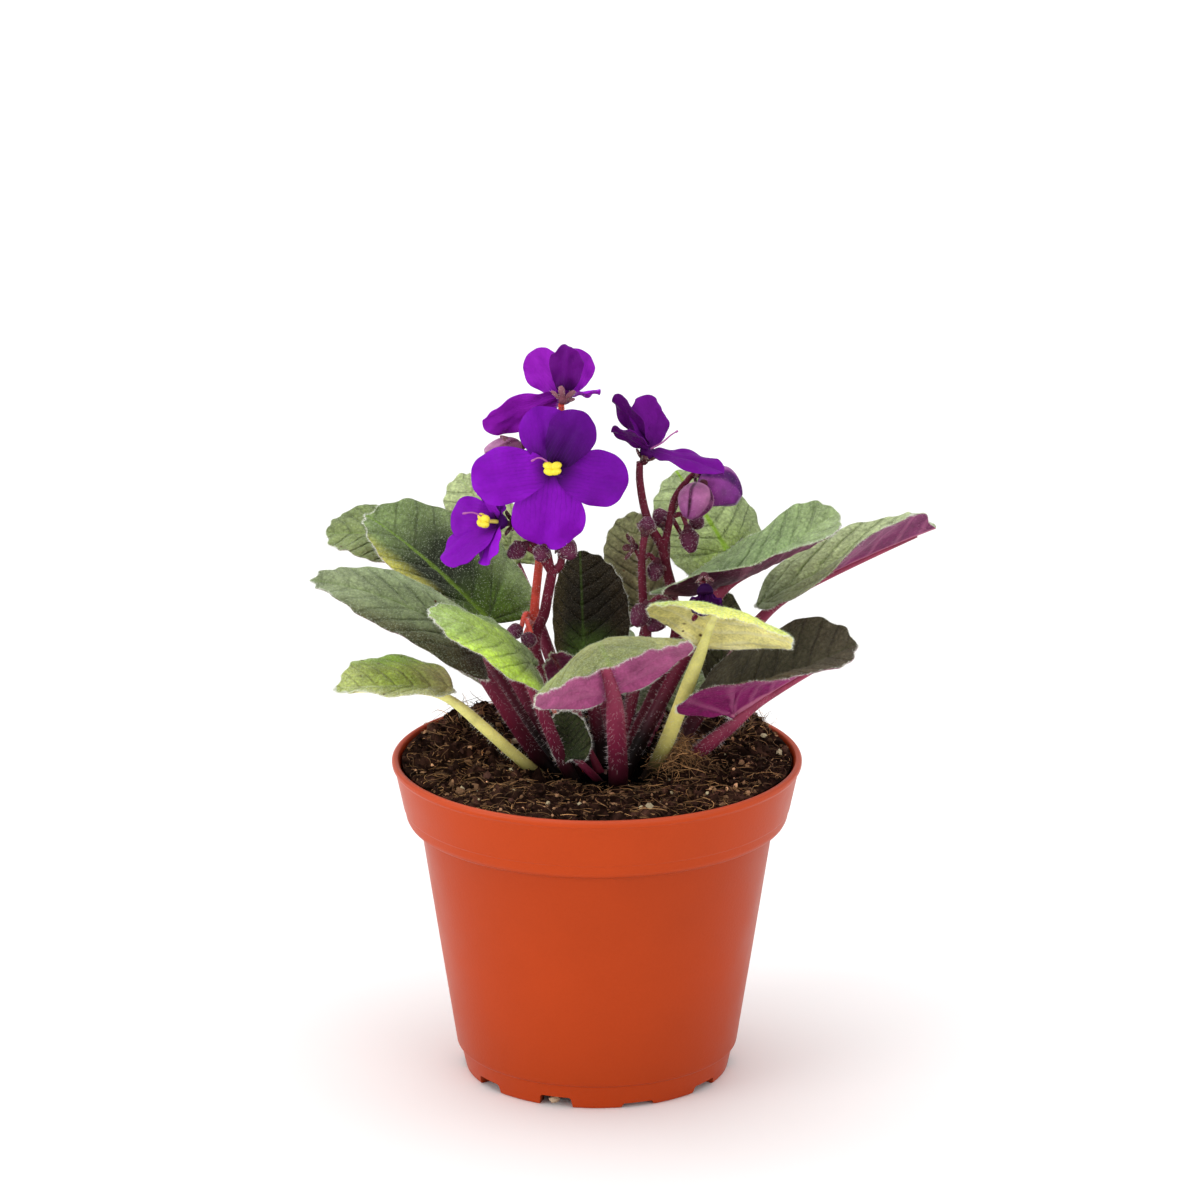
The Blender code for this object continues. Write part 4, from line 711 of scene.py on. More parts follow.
        foot=(2, 32, 108.5), tip=(2, 66, 118), left=(-8, 52, 113), right=(12.5, 52, 113),
        base=(102, 34), droop=40,
        tip_tint=(0.276, 0.345, 0.161), middle_tint=(0.196, 0.253, 0.103), foot_tint=(0.127, 0.172, 0.057),
        left_tint=(0.230, 0.299, 0.127), right_tint=(0.218, 0.287, 0.115),
        under_foot=(0.17, 0.02, 0.09), under_tip=(0.20, 0.04, 0.11), rib=0.4,
    ),
}

SIDE_STATION = 0.42  # the share of a leaf's length at which its side points stand
VEINS_ALONG, VEIN_BEND, VEIN_POWER = 6.5, 0.40, 1.2  # steps along a leaf, and how side veins bend forwards
FAN_WIDTH, FAN_STEP, FAN_SHIFT = 0.9, 24, 0.2  # the veins behind the stalk: a step every 24 degrees
CHART_MIDDLE, CHART_SPAN = (0.5, 0.3), (2.2, 1.6)  # how width and length are laid out on the chart


def unit(vector):
    """A vector, or each of many, over its own length."""
    return vector / np.linalg.norm(vector, axis=-1, keepdims=True)


class Blade:
    """A thin curved sheet hung on four points: its foot, its tip, and its left and right margin, which
    stand level with a fixed share of its length."""

    def __init__(
        self, foot, tip, left, right, droop=0.0, curl=(0.0, 0.0), twist=(0.0, 0.0), back=0.25, leafy=True,
        blunt=(0.84, 0.95),
    ):
        """Angles are in degrees. Each half's arc leaves the midrib at the slope that brings it, after
        turning by its curl, to its side point."""
        self.foot, self.tip = np.array(foot, float), np.array(tip, float)
        self.length = np.linalg.norm(self.tip - self.foot)
        self.axis = (self.tip - self.foot) / self.length
        side = np.array(left, float) - np.array(right, float)
        self.side = unit(side - self.axis * np.dot(side, self.axis))
        self.normal = np.cross(self.axis, self.side)
        self.droop = math.radians(droop) or 1e-3
        self.curl = [math.radians(angle) or 1e-3 for angle in curl]
        self.twist = [math.radians(angle) for angle in twist]
        self.back, self.leafy, self.blunt = back, leafy, blunt
        along, above, pitch = self.midrib(SIDE_STATION)
        middle = self.foot + along * self.axis + above * self.normal
        up = math.cos(pitch) * self.normal - math.sin(pitch) * self.axis
        self.halves = []
        for sign, point, curl in ((1, np.array(left), self.curl[0]), (-1, np.array(right), self.curl[1])):
            across, above = sign * np.dot(point - middle, self.side), np.dot(point - middle, up)
            arc = math.hypot(across, above) * (curl / 2) / math.sin(curl / 2)
            self.halves.append((math.atan2(above, across) - curl / 2, arc))

    def midrib(self, share):
        """Distance along, height above and pitch of the midrib: an arc that turns by the droop."""
        bend = 2 * math.sin(self.droop / 2) / self.length
        pitch = self.droop / 2 - self.droop * share
        along = (math.sin(self.droop / 2) - np.sin(pitch)) / bend
        above = (np.cos(pitch) - math.cos(self.droop / 2)) / bend
        return along, above, pitch

    def outline(self, turn):
        """The margin at a turn from the tip, as shares of length and half width. A leaf is an ellipse whose
        lobes reach back past its foot, less a narrow bay at the stalk; the power that its width's sine is
        raised to makes each end blunter or more pointed. A petal is a plain egg."""
        if not self.leafy:
            return 0.5 + 0.5 * np.cos(turn), np.sin(turn) * (1 + 0.22 * np.cos(turn))
        lobes = (1 - self.back) / 2 + (1 + self.back) / 2 * np.cos(turn)
        bay = (self.back - 0.03) * np.exp(-((np.abs(turn) - math.pi) / 0.42) ** 2)
        power = np.where(np.cos(turn) > 0, self.blunt[0], self.blunt[1])
        width = np.sign(np.sin(turn)) * np.abs(np.sin(turn)) ** power * (1 - 0.05 * np.cos(turn))
        return lobes + bay, width

    def surface(self, reach, turn, toothed=0.0, wave=0.0, count=19):
        """Middle surface, and its shares of length and width, at a share of the way from the fan's centre to
        the margin. Across, each half is an arc that turns by its curl; its plane turns by the twist."""
        centre = 0.0 if self.leafy else 0.5
        share, across = self.outline(turn)
        phase = self.foot[0]
        teeth = toothed * reach ** 3 * np.cos(count * turn + 0.9 * np.sin(3 * turn + phase))
        share, across = centre + (share - centre) * reach * (1 + teeth), across * reach * (1 + teeth)
        along, above, pitch = self.midrib(share)
        up = np.cos(pitch)[..., None] * self.normal - np.sin(pitch)[..., None] * self.axis
        left = across > 0
        turned_by = (np.where(left, self.twist[0], self.twist[1]) * (share - SIDE_STATION))[..., None]
        side = np.cos(turned_by) * self.side + np.sin(turned_by) * up
        up = np.cos(turned_by) * up - np.sin(turned_by) * self.side
        (start_left, width_left), (start_right, width_right) = self.halves
        start, width = np.where(left, start_left, start_right), np.where(left, width_left, width_right)
        curl = np.where(left, self.curl[0], self.curl[1])
        end = start + curl * np.abs(across)
        out = width / curl * (np.sin(end) - np.sin(start)) * np.where(left, 1, -1)
        rise = width / curl * (np.cos(start) - np.cos(end))
        rise = rise + wave * reach ** 3 * np.sin(7 * turn + phase)
        place = self.foot + along[..., None] * self.axis + above[..., None] * self.normal
        return place + out[..., None] * side + rise[..., None] * up, share, across


def vein_nearness(across, share):
    """1 on a side vein and 0 midway between two. Ahead of the stalk, veins leave the midrib at even steps
    and bend towards the tip with a power of the width; behind it they fan out from the stalk."""
    ahead = share - VEIN_BEND * np.abs(across) ** VEIN_POWER
    fan = np.degrees(np.arctan2(FAN_WIDTH * np.abs(across), share)) / FAN_STEP - FAN_SHIFT
    steps = np.where(ahead > 0, ahead * VEINS_ALONG, fan)
    return 2 * np.abs(steps - np.floor(steps) - 0.5)


def sheet(blade, turns, reaches, thickness, relief, tints, toothed=0.0, wave=0.0, count=19):
    """A blade as a closed shell: its middle surface on a fan of rings, moved by the relief along the
    normal, with half the thickness above and half below, joined round the margin. tints gives the tint
    of the upper and of the under face from shares of width, length and reach."""
    sides = len(turns)
    reach = np.concatenate([[0.0], np.repeat(reaches, sides)])
    turn = np.concatenate([[0.0], np.tile(turns, len(reaches))])
    middle, share, across = blade.surface(reach, turn, toothed, wave, count)
    grid = 1 + np.arange(len(reaches) * sides).reshape(len(reaches), sides)
    beside = np.roll(grid, -1, axis=1)
    quads = np.stack([grid[:-1], grid[1:], beside[1:], beside[:-1]], -1).reshape(-1, 4)
    fan = np.column_stack([np.zeros(sides, int), grid[0], beside[0]])

    def normals(points):
        """Across the surface at each point: square to the step outwards and the step round its ring."""
        rings = points[1:].reshape(len(reaches), sides, 3)
        out = np.gradient(np.concatenate([np.broadcast_to(points[:1], (1, sides, 3)), rings]), axis=0)[1:]
        round_ = np.roll(rings, -1, 1) - np.roll(rings, 1, 1)
        found = unit(np.cross(out, round_)).reshape(-1, 3)
        return np.vstack([unit(found[:sides].mean(0))[None], found])

    middle = middle + normals(middle) * relief(reach, turn, across, share)[:, None]
    normal = normals(middle)
    half = thickness(reach)[:, None] / 2
    under = len(middle)
    rim_quads = np.column_stack([grid[-1], grid[-1] + under, beside[-1] + under, beside[-1]])
    chart = np.column_stack([
        CHART_MIDDLE[0] + across / CHART_SPAN[0], CHART_MIDDLE[1] + share / CHART_SPAN[1],
    ])
    made = shell(
        np.vstack([middle + normal * half, middle - normal * half]),
        np.vstack([quads, quads[:, ::-1] + under, rim_quads]), np.vstack([fan, fan[:, ::-1] + under]),
        np.vstack([chart, chart]), np.vstack(tints(across, share, reach)),
        np.repeat([0, 1, 0, 0, 1], [len(quads), len(quads), sides, sides, sides]),
    )
    return made, middle[1:].reshape(len(reaches), sides, 3), normal[1:].reshape(len(reaches), sides, 3)


def blended(across, share, row):
    """The upper face's tint: from the foot's to the middle's to the tip's along the leaf, then towards the
    left or right margin's, each over a smooth step; the fourth value is how bright the midrib is."""
    tint = np.array(row["foot_tint"])
    for place, start, end in (("middle_tint", 0.02, 0.38), ("tip_tint", 0.5, 0.92)):
        tint = tint + (np.array(row[place]) - tint) * eased(share, start, end)[:, None]
    for sign, margin in ((1, "left_tint"), (-1, "right_tint")):
        tint = tint + (np.array(row[margin]) - tint) * eased(sign * across, 0.35, 0.85)[:, None] * 0.9
    return np.column_stack([tint, np.full(len(tint), row["rib"])])


def hairs(roots, ways, lengths, thick, colour, droop=0.25):
    """A hair at each root: a three-cornered foot drawn out to a point along its way, which sinks by the
    droop times the hair's length."""
    aside = unit(np.cross(ways, [0.31, 0.43, 0.85]))
    turns = np.radians([0, 120, 240])[:, None]
    other = np.cross(ways, aside)
    foot = roots[:, None] + thick * (np.cos(turns) * aside[:, None] + np.sin(turns) * other[:, None])
    point = (roots + lengths[:, None] * (ways - [0, 0, droop]))[:, None]
    tris = np.array([(0, 1, 3), (1, 2, 3), (2, 0, 3), (2, 1, 0)]) + 4 * np.arange(len(roots))[:, None, None]
    points = np.concatenate([foot, point], 1)
    return shell(points.reshape(-1, 3), [], tris.reshape(-1, 3), tint=colour)


def scattered(rings, normal, many, random):
    """Random places on a grid of rings, even over its area, with the normal there, by picking faces by
    their area and a random place within each."""
    a, b = rings[:-1], rings[1:]
    area = np.linalg.norm(np.cross(b - a, np.roll(a, -1, 1) - a), axis=-1).ravel()
    pick = random.choice(area.size, many, p=area / area.sum())
    ring, side = np.divmod(pick, rings.shape[1])
    beside = (side + 1) % rings.shape[1]
    u, v = random.uniform(0, 1, (2, many, 1))

    def at(values):
        """The values there: blended along the face's two rings, then from one ring to the other."""
        low = values[ring, side] * (1 - v) + values[ring, beside] * v
        high = values[ring + 1, side] * (1 - v) + values[ring + 1, beside] * v
        return low * (1 - u) + high * u

    return at(rings), unit(at(normal))


def coat_of_hairs(
    rings, normal, many, random, stray, lengths, thick, colour, lift=0.0, firm=1.0, above=0.0, droop=0.05,
):
    """Hairs at random places on a grid of rings: each sets off along the normal, times how firm it is, plus
    a random stray. Those with their root no higher than above are left out."""
    root, up = scattered(rings, normal, many, random)
    root, up = root[root[:, 2] > above], up[root[:, 2] > above]
    lean = unit(up * firm + random.normal(0, stray, up.shape))
    return hairs(root + up * lift, lean, random.uniform(*lengths, len(root)), thick, colour, droop)


def curve_points(controls, count):
    """A Bezier curve of any degree: neighbouring control points are blended by the share of the way along,
    again and again, until one point is left."""
    share = np.linspace(0, 1, count)[:, None, None]
    level = np.repeat(np.asarray(controls, float)[None], count, axis=0)
    while level.shape[1] > 1:
        level = level[:, :-1] * (1 - share) + level[:, 1:] * share
    return level[:, 0]


def on_crown(turn, rise, lift):
    """A point of the crown's dome raised by lift, and the way outwards there."""
    turn, rise = math.radians(turn), math.radians(rise)
    out = np.array([math.cos(turn) * math.cos(rise), math.sin(turn) * math.cos(rise), math.sin(rise)])
    return CROWN + out * (CROWN_RADIUS + lift), out


STALK_POINTS = 26


def stalk_run(blade, row):
    """The stalk's middle line and radius: a cubic curve from the crown to just under the blade's foot, then
    under the midrib to near its tip, tapering, with the elbow between them smoothed."""
    thick = row["thick"]
    start, out = on_crown(*row["base"], -1.0)
    under = math.cos(blade.droop / 2) * blade.normal - math.sin(blade.droop / 2) * blade.axis
    end = blade.foot - under * (1.0 + 0.6 * thick)
    chord, ahead, bow = np.linalg.norm(end - start), unit(end - start), np.array(row["bow"], float)
    leaving, arriving = start + unit(ahead + out) * 0.33 * chord + bow, end - ahead * 0.33 * chord + bow
    stalk = curve_points([start, leaving, arriving, end], STALK_POINTS)
    share = np.linspace(0.10, 0.90, 20)
    rib, along, across = blade.surface(share, 0 * share)
    slim = 0.52 * thick * (1 - share) ** 0.7 + 0.16
    pitch = blade.midrib(along)[2][:, None]
    up = np.cos(pitch) * blade.normal - np.sin(pitch) * blade.axis
    path = np.vstack([stalk, rib - up * (0.72 * slim + 0.45)[:, None]])
    taper = np.interp(np.linspace(0, 1, STALK_POINTS), [0, 0.1, 0.8, 1], [1.12, 1.0, 0.92, 0.76])
    radius = np.concatenate([thick * taper, slim])
    for _ in range(5):
        for line in (path, radius):
            line[1:-1] = (line[:-2] + 2 * line[1:-1] + line[2:]) / 4
    return path, radius


def make_leaf_skin():
    """Mottled tint, with painted light in the middle of each pucker and painted shade at its edge, and pale
    painted glints where short hairs catch the light; the side veins of vein_nearness, a midrib, a net of fine
    veins between them, and brown specks at random cells. Height sinks at every vein."""
    group, given, out = new_group(
        "leaf_skin",
        {"Tint": "Color", "Rib": "Float", "Vein": "Color", "Rib Colour": "Color", "Veins": "Float",
         "Net": "Float", "Specks": "Float", "Glints": "Float", "Glint Colour": "Color", "Puckers": "Float"},
        {"Colour": "Color", "Height": "Float"},
    )

    def times(first, second):
        """The product of two values."""
        return reckon(group, "MULTIPLY", first, second)

    def cells(scale, feature):
        """The outputs of random cells of the given scale."""
        values = {"Vector": place["Object"], "Scale": scale}
        return add_node(group, "TexVoronoi", values, feature=feature).outputs

    place = add_node(group, "TexCoord").outputs
    chart = add_node(group, "SeparateXYZ", {0: place["UV"]}).outputs
    wander = reckon(group, "MULTIPLY_ADD", noise(group, place["Object"], 170.0, 2.0), 0.05, -0.025)
    across = times(reckon(group, "SUBTRACT", chart[0], CHART_MIDDLE[0]), CHART_SPAN[0])
    across = reckon(group, "ABSOLUTE", across)
    share = times(reckon(group, "SUBTRACT", chart[1], CHART_MIDDLE[1]), CHART_SPAN[1])
    share = reckon(group, "ADD", share, wander)
    ahead = reckon(group, "SUBTRACT", share, times(reckon(group, "POWER", across, VEIN_POWER), VEIN_BEND))
    angle = reckon(group, "ARCTAN2", times(across, FAN_WIDTH), share)
    fan = reckon(group, "MULTIPLY_ADD", angle, 180 / math.pi / FAN_STEP, -FAN_SHIFT)
    in_front = reckon(group, "GREATER_THAN", ahead, 0.0)
    steps = reckon(group, "SUBTRACT", times(ahead, VEINS_ALONG), fan)
    steps = reckon(group, "ADD", fan, times(in_front, steps))
    side_vein = fade(group, near_line(group, steps), 0.62, 1.0)
    wide = reckon(group, "MULTIPLY_ADD", share, -0.05, 0.085)
    midrib = fade(group, reckon(group, "DIVIDE", across, wide), 1.0, 0.35)
    midrib = times(midrib, reckon(group, "GREATER_THAN", share, -0.02))
    from_edge = cells(520.0, "DISTANCE_TO_EDGE")[0]
    net = times(fade(group, from_edge, 0.16, 0.02), given["Net"])
    spots = cells(420.0, "F1")
    odd = add_node(group, "SeparateXYZ", {0: spots["Color"]}).outputs
    # Painted glints: pale spots where the hairs catch the light.
    glint = times(fade(group, cells(1500.0, "F1")[0], 0.30, 0.10), given["Glints"])
    rare = reckon(group, "LESS_THAN", odd[0], given["Specks"])
    speck = fade(group, spots["Distance"], reckon(group, "MULTIPLY_ADD", odd[1], 0.35, 0.12), 0.08)
    coat = mottled(group, given["Tint"], 0.95, 190.0, 1300.0)
    # Painted light and shade on the puckers: brighter in the middle of each cell, darker at its edge.
    pucker = reckon(group, "MULTIPLY_ADD", reckon(group, "SUBTRACT", from_edge, 0.2), given["Puckers"], 1.0)
    veins = times(reckon(group, "MAXIMUM", side_vein, net), given["Veins"])
    colour = mixed(group, veins, scaled(group, coat["Colour"], pucker), given["Vein"])
    colour = mixed(group, glint, colour, given["Glint Colour"])
    colour = mixed(group, times(midrib, given["Rib"]), colour, given["Rib Colour"])
    colour = mixed(group, times(rare, speck), colour, (0.09, 0.035, 0.012, 1))
    group.links.new(colour, out["Colour"])
    sunk = reckon(group, "MAXIMUM", side_vein, times(net, 0.7))
    group.links.new(reckon(group, "MULTIPLY_ADD", sunk, -0.8, coat["Height"]), out["Height"])
    return group


leaf_skin = make_leaf_skin()


def leaf_finish(
    name, vein, rib, veins, net, specks, rough, bump, glints=0.0, glint_colour=(1, 1, 1, 1), puckers=0.0,
    **constants,
):
    """A leaf's face: the shared leaf skin with its own vein and midrib colours, slightly velvety."""
    finish, tree, shader = new_finish(name, roughness=rough, **constants)
    given = mesh_tint(tree)
    values = {
        "Tint": given["Color"], "Rib": given["Alpha"], "Vein": vein, "Rib Colour": rib, "Veins": veins,
        "Net": net, "Specks": specks, "Glints": glints, "Glint Colour": glint_colour, "Puckers": puckers,
    }
    face = add_node(tree, "Group", values, node_tree=leaf_skin).outputs
    show(tree, shader, face["Colour"], face["Height"], bump, 0.0008)
    return finish


velvet = dict(
    specular_ior_level=0.12, sheen_weight=0.12, sheen_roughness=0.45, sheen_tint=(0.85, 0.95, 0.75, 1),
)
thin_velvet = dict(specular_ior_level=0.12, sheen_weight=0.05, sheen_roughness=0.4)
# On the upper faces the darker vein colour is painted shade in the grooves of the veins; on the lower faces
# the veins have their own paler colour.
green_face = leaf_finish(
    "leaf_face_green", vein=(0.060, 0.084, 0.040, 1), rib=(0.26, 0.44, 0.04, 1), veins=0.13, net=0.06,
    specks=0.012, rough=0.55, bump=0.9, glints=0.5, glint_colour=(0.52, 0.60, 0.42, 1), puckers=0.9, **velvet,
)
lime_face = leaf_finish(
    "leaf_face_lime", vein=(0.34, 0.38, 0.09, 1), rib=(0.50, 0.62, 0.20, 1), veins=0.15, net=0.06,
    specks=0.05, rough=0.55, bump=0.8, glints=0.22, glint_colour=(0.80, 0.88, 0.60, 1), puckers=0.8, **velvet,
)
dark_face = leaf_finish(
    "leaf_face_dark", vein=(0.020, 0.014, 0.008, 1), rib=(0.08, 0.17, 0.02, 1), veins=0.18, net=0.08,
    specks=0.02, rough=0.55, bump=0.9, glints=0.25, glint_colour=(0.18, 0.15, 0.10, 1), puckers=1.0,
    specular_ior_level=0.1, sheen_weight=0.05, sheen_roughness=0.45,
)
wine_under = leaf_finish(
    "leaf_under_wine", vein=(0.46, 0.15, 0.27, 1), rib=(0.48, 0.16, 0.25, 1), veins=0.30, net=0.0,
    specks=0.0, rough=0.5, bump=0.35, **thin_velvet,
)
pale_under = leaf_finish(
    "leaf_under_pale", vein=(0.90, 0.86, 0.56, 1), rib=(0.92, 0.88, 0.58, 1), veins=0.45, net=0.0,
    specks=0.22, rough=0.5, bump=0.4, **thin_velvet,
)
FACES = {"green": green_face, "lime": lime_face, "dark": dark_face}
UNDERSIDES = {"maroon": wine_under, "yellow": pale_under}  # by the stalk's colour
hair_finish = tinted_finish("plant_hair", 0.2, 200.0, 900.0, 0.0, rough=(0.4, 0.5), specular_ior_level=0.4)

# The near-black at the crown is painted shade where the stalks run down into the plant.
STALK_TINTS = {  # at the crown, half way and at the blade
    "maroon": ((0.005, 0.001, 0.001), (0.150, 0.011, 0.036), (0.300, 0.048, 0.095)),
    "yellow": ((0.012, 0.006, 0.003), (0.900, 0.820, 0.240), (0.930, 0.900, 0.330)),
}
HAIR_TINTS = {"green": (0.50, 0.58, 0.40), "lime": (0.74, 0.82, 0.55), "dark": (0.20, 0.17, 0.12)}
UNDER_HAIR_TINTS = {"maroon": (0.60, 0.30, 0.42), "yellow": (0.85, 0.80, 0.55)}
STALK_HAIR_TINTS = {"maroon": (0.82, 0.70, 0.70), "yellow": (0.86, 0.84, 0.66)}
MARGIN_HAIR_TINT = (0.86, 0.88, 0.80)
SMALL_LEAF = 22  # leaves shorter than this have a calmer quilting
MIDDLING_LEAF = 1300  # length times width of a leaf with a full coat of hairs, in square millimetres
leaf_turns = np.linspace(-math.pi, math.pi, 150, endpoint=False)
leaf_turns = leaf_turns - 0.42 * np.sin(leaf_turns)
leaf_reaches = np.linspace(0, 1, 23)[1:] ** 0.92
leaf_random = np.random.default_rng(23)

for name, own in LEAVES.items():
    row = {**USUAL_LEAF, **own}
    shape = ("foot", "tip", "left", "right", "droop", "curl", "twist", "back", "blunt")
    blade = Blade(**{key: row[key] for key in shape})
    small = blade.length < SMALL_LEAF

    def relief(reach, turn, across, share):
        """Quilting: down at the midrib and veins, up between them, less near the margin, and fine puckers."""
        near = vein_nearness(across, share)
        deep = np.clip(np.abs(across) / 0.10, 0, 1) * (1 - 0.8 * reach ** 2)
        quilt = deep * (0.30 - 0.72 * np.clip((near - 0.5) / 0.5, 0, 1) ** 1.4)
        rib = -0.40 * np.exp(-(across / 0.055) ** 2) * np.clip(1 - share, 0, 1) * np.clip(reach * 8, 0, 1)
        flat = np.column_stack([across * 18, share * 36, 0 * share + row["foot"][0]])
        calm = 1 - np.exp(-(across / 0.10) ** 2)
        puckers = calm * (0.26 * lumps(flat, 2.2, 31) + 0.45 * lumps(flat, 6.5, 32))
        return (quilt + rib + puckers) * (0.45 if small else 1.0)

    def tints(across, share, reach):
        """The upper face's tint, and the lower face's, which changes evenly from the foot to the tip."""
        foot, tip = np.array(row["under_foot"]), np.array(row["under_tip"])
        under = foot + (tip - foot) * np.clip(share, 0, 1)[:, None]
        return blended(across, share, row), np.column_stack([under, np.full(len(under), 0.8)])

    made, rings, normal = sheet(
        blade, leaf_turns, leaf_reaches, lambda reach: 0.42 + 0.75 * (1 - reach ** 1.5), relief, tints,
        toothed=0.012, wave=0.5,
    )
    kind, stalk = row["kind"], row["stalk"]
    faces = [FACES[kind], UNDERSIDES[stalk]]
    set_out(f"leaf_{name}_blade_quilted", [made], faces, [f"leaf_{name}_blade"], crease=70)

    path, radius = stalk_run(blade, row)
    length = np.linspace(0, 1, len(path))
    # The stalk's tint, near-black at the crown as painted shade.
    tint = np.column_stack([
        np.interp(length, [0.14, 0.34, 0.64], channel) for channel in zip(*STALK_TINTS[stalk])
    ])
    stalk_tint = tint[:, None] * (1 + 0.18 * lumps(np.repeat(path[:, None], 16, 1), 3.0, 41)[..., None])
    tube = tubes(path, radius, 16)
    round_stalk = skin(tube, tint=stalk_tint)
    set_out(
        f"leaf_{name}_stalk_round", [round_stalk], [stalk_finish], [f"leaf_{name}_stalk"],
    )

    # The coat of hairs: short over both faces, longer round the margin and all over the stalk.
    area = blade.length * np.linalg.norm(np.array(row["left"], float) - row["right"]) / MIDDLING_LEAF
    fine = coat_of_hairs(
        rings, normal, int(4200 * min(area, 1.3)) + 150, leaf_random, 0.40, (0.5, 1.1), 0.034,
        HAIR_TINTS[kind], lift=0.2, firm=0.9, droop=0.25,
    )
    below = coat_of_hairs(
        rings, -normal, int(900 * min(area, 1.2)) + 60, leaf_random, 0.5, (0.3, 0.7), 0.028,
        UNDER_HAIR_TINTS[stalk], lift=0.2, firm=0.9, droop=0.1,
    )
    many = int(1900 * min(math.sqrt(area), 1.2)) + 60
    spot = leaf_random.uniform(0, len(leaf_turns), many)
    low, part = spot.astype(int), (spot % 1)[:, None]
    high = (low + 1) % len(leaf_turns)
    rim = rings[-1][low] * (1 - part) + rings[-1][high] * part
    inner = rings[-3][low] * (1 - part) + rings[-3][high] * part
    lean = unit(unit(rim - inner) + leaf_random.normal(0, 0.42, rim.shape) + [0, 0, 0.15])
    long = leaf_random.uniform(0.5, 1.45, many)
    fringe = hairs(rim - (rim - inner) * 0.1, lean, long, 0.046, MARGIN_HAIR_TINT, droop=0.1)
    stalk_hairs = coat_of_hairs(
        tube, unit(tube - path[:, None]), 18 * len(path), leaf_random, 0.10, (0.5, 1.6), 0.032,
        STALK_HAIR_TINTS[stalk], lift=-0.05, above=97,
    )
    set_out(f"leaf_{name}_hairs", [fine, below, fringe, stalk_hairs], [hair_finish])


# ---- The flower stalks ----------------------------------------------------------------------------
# Thin hairy stalks, wine-red or coral, that rise from the crown and branch. Each branch ends in a calyx
# of five pointed sepals, which holds a bloom or a closed bud with its petals folded over each other.

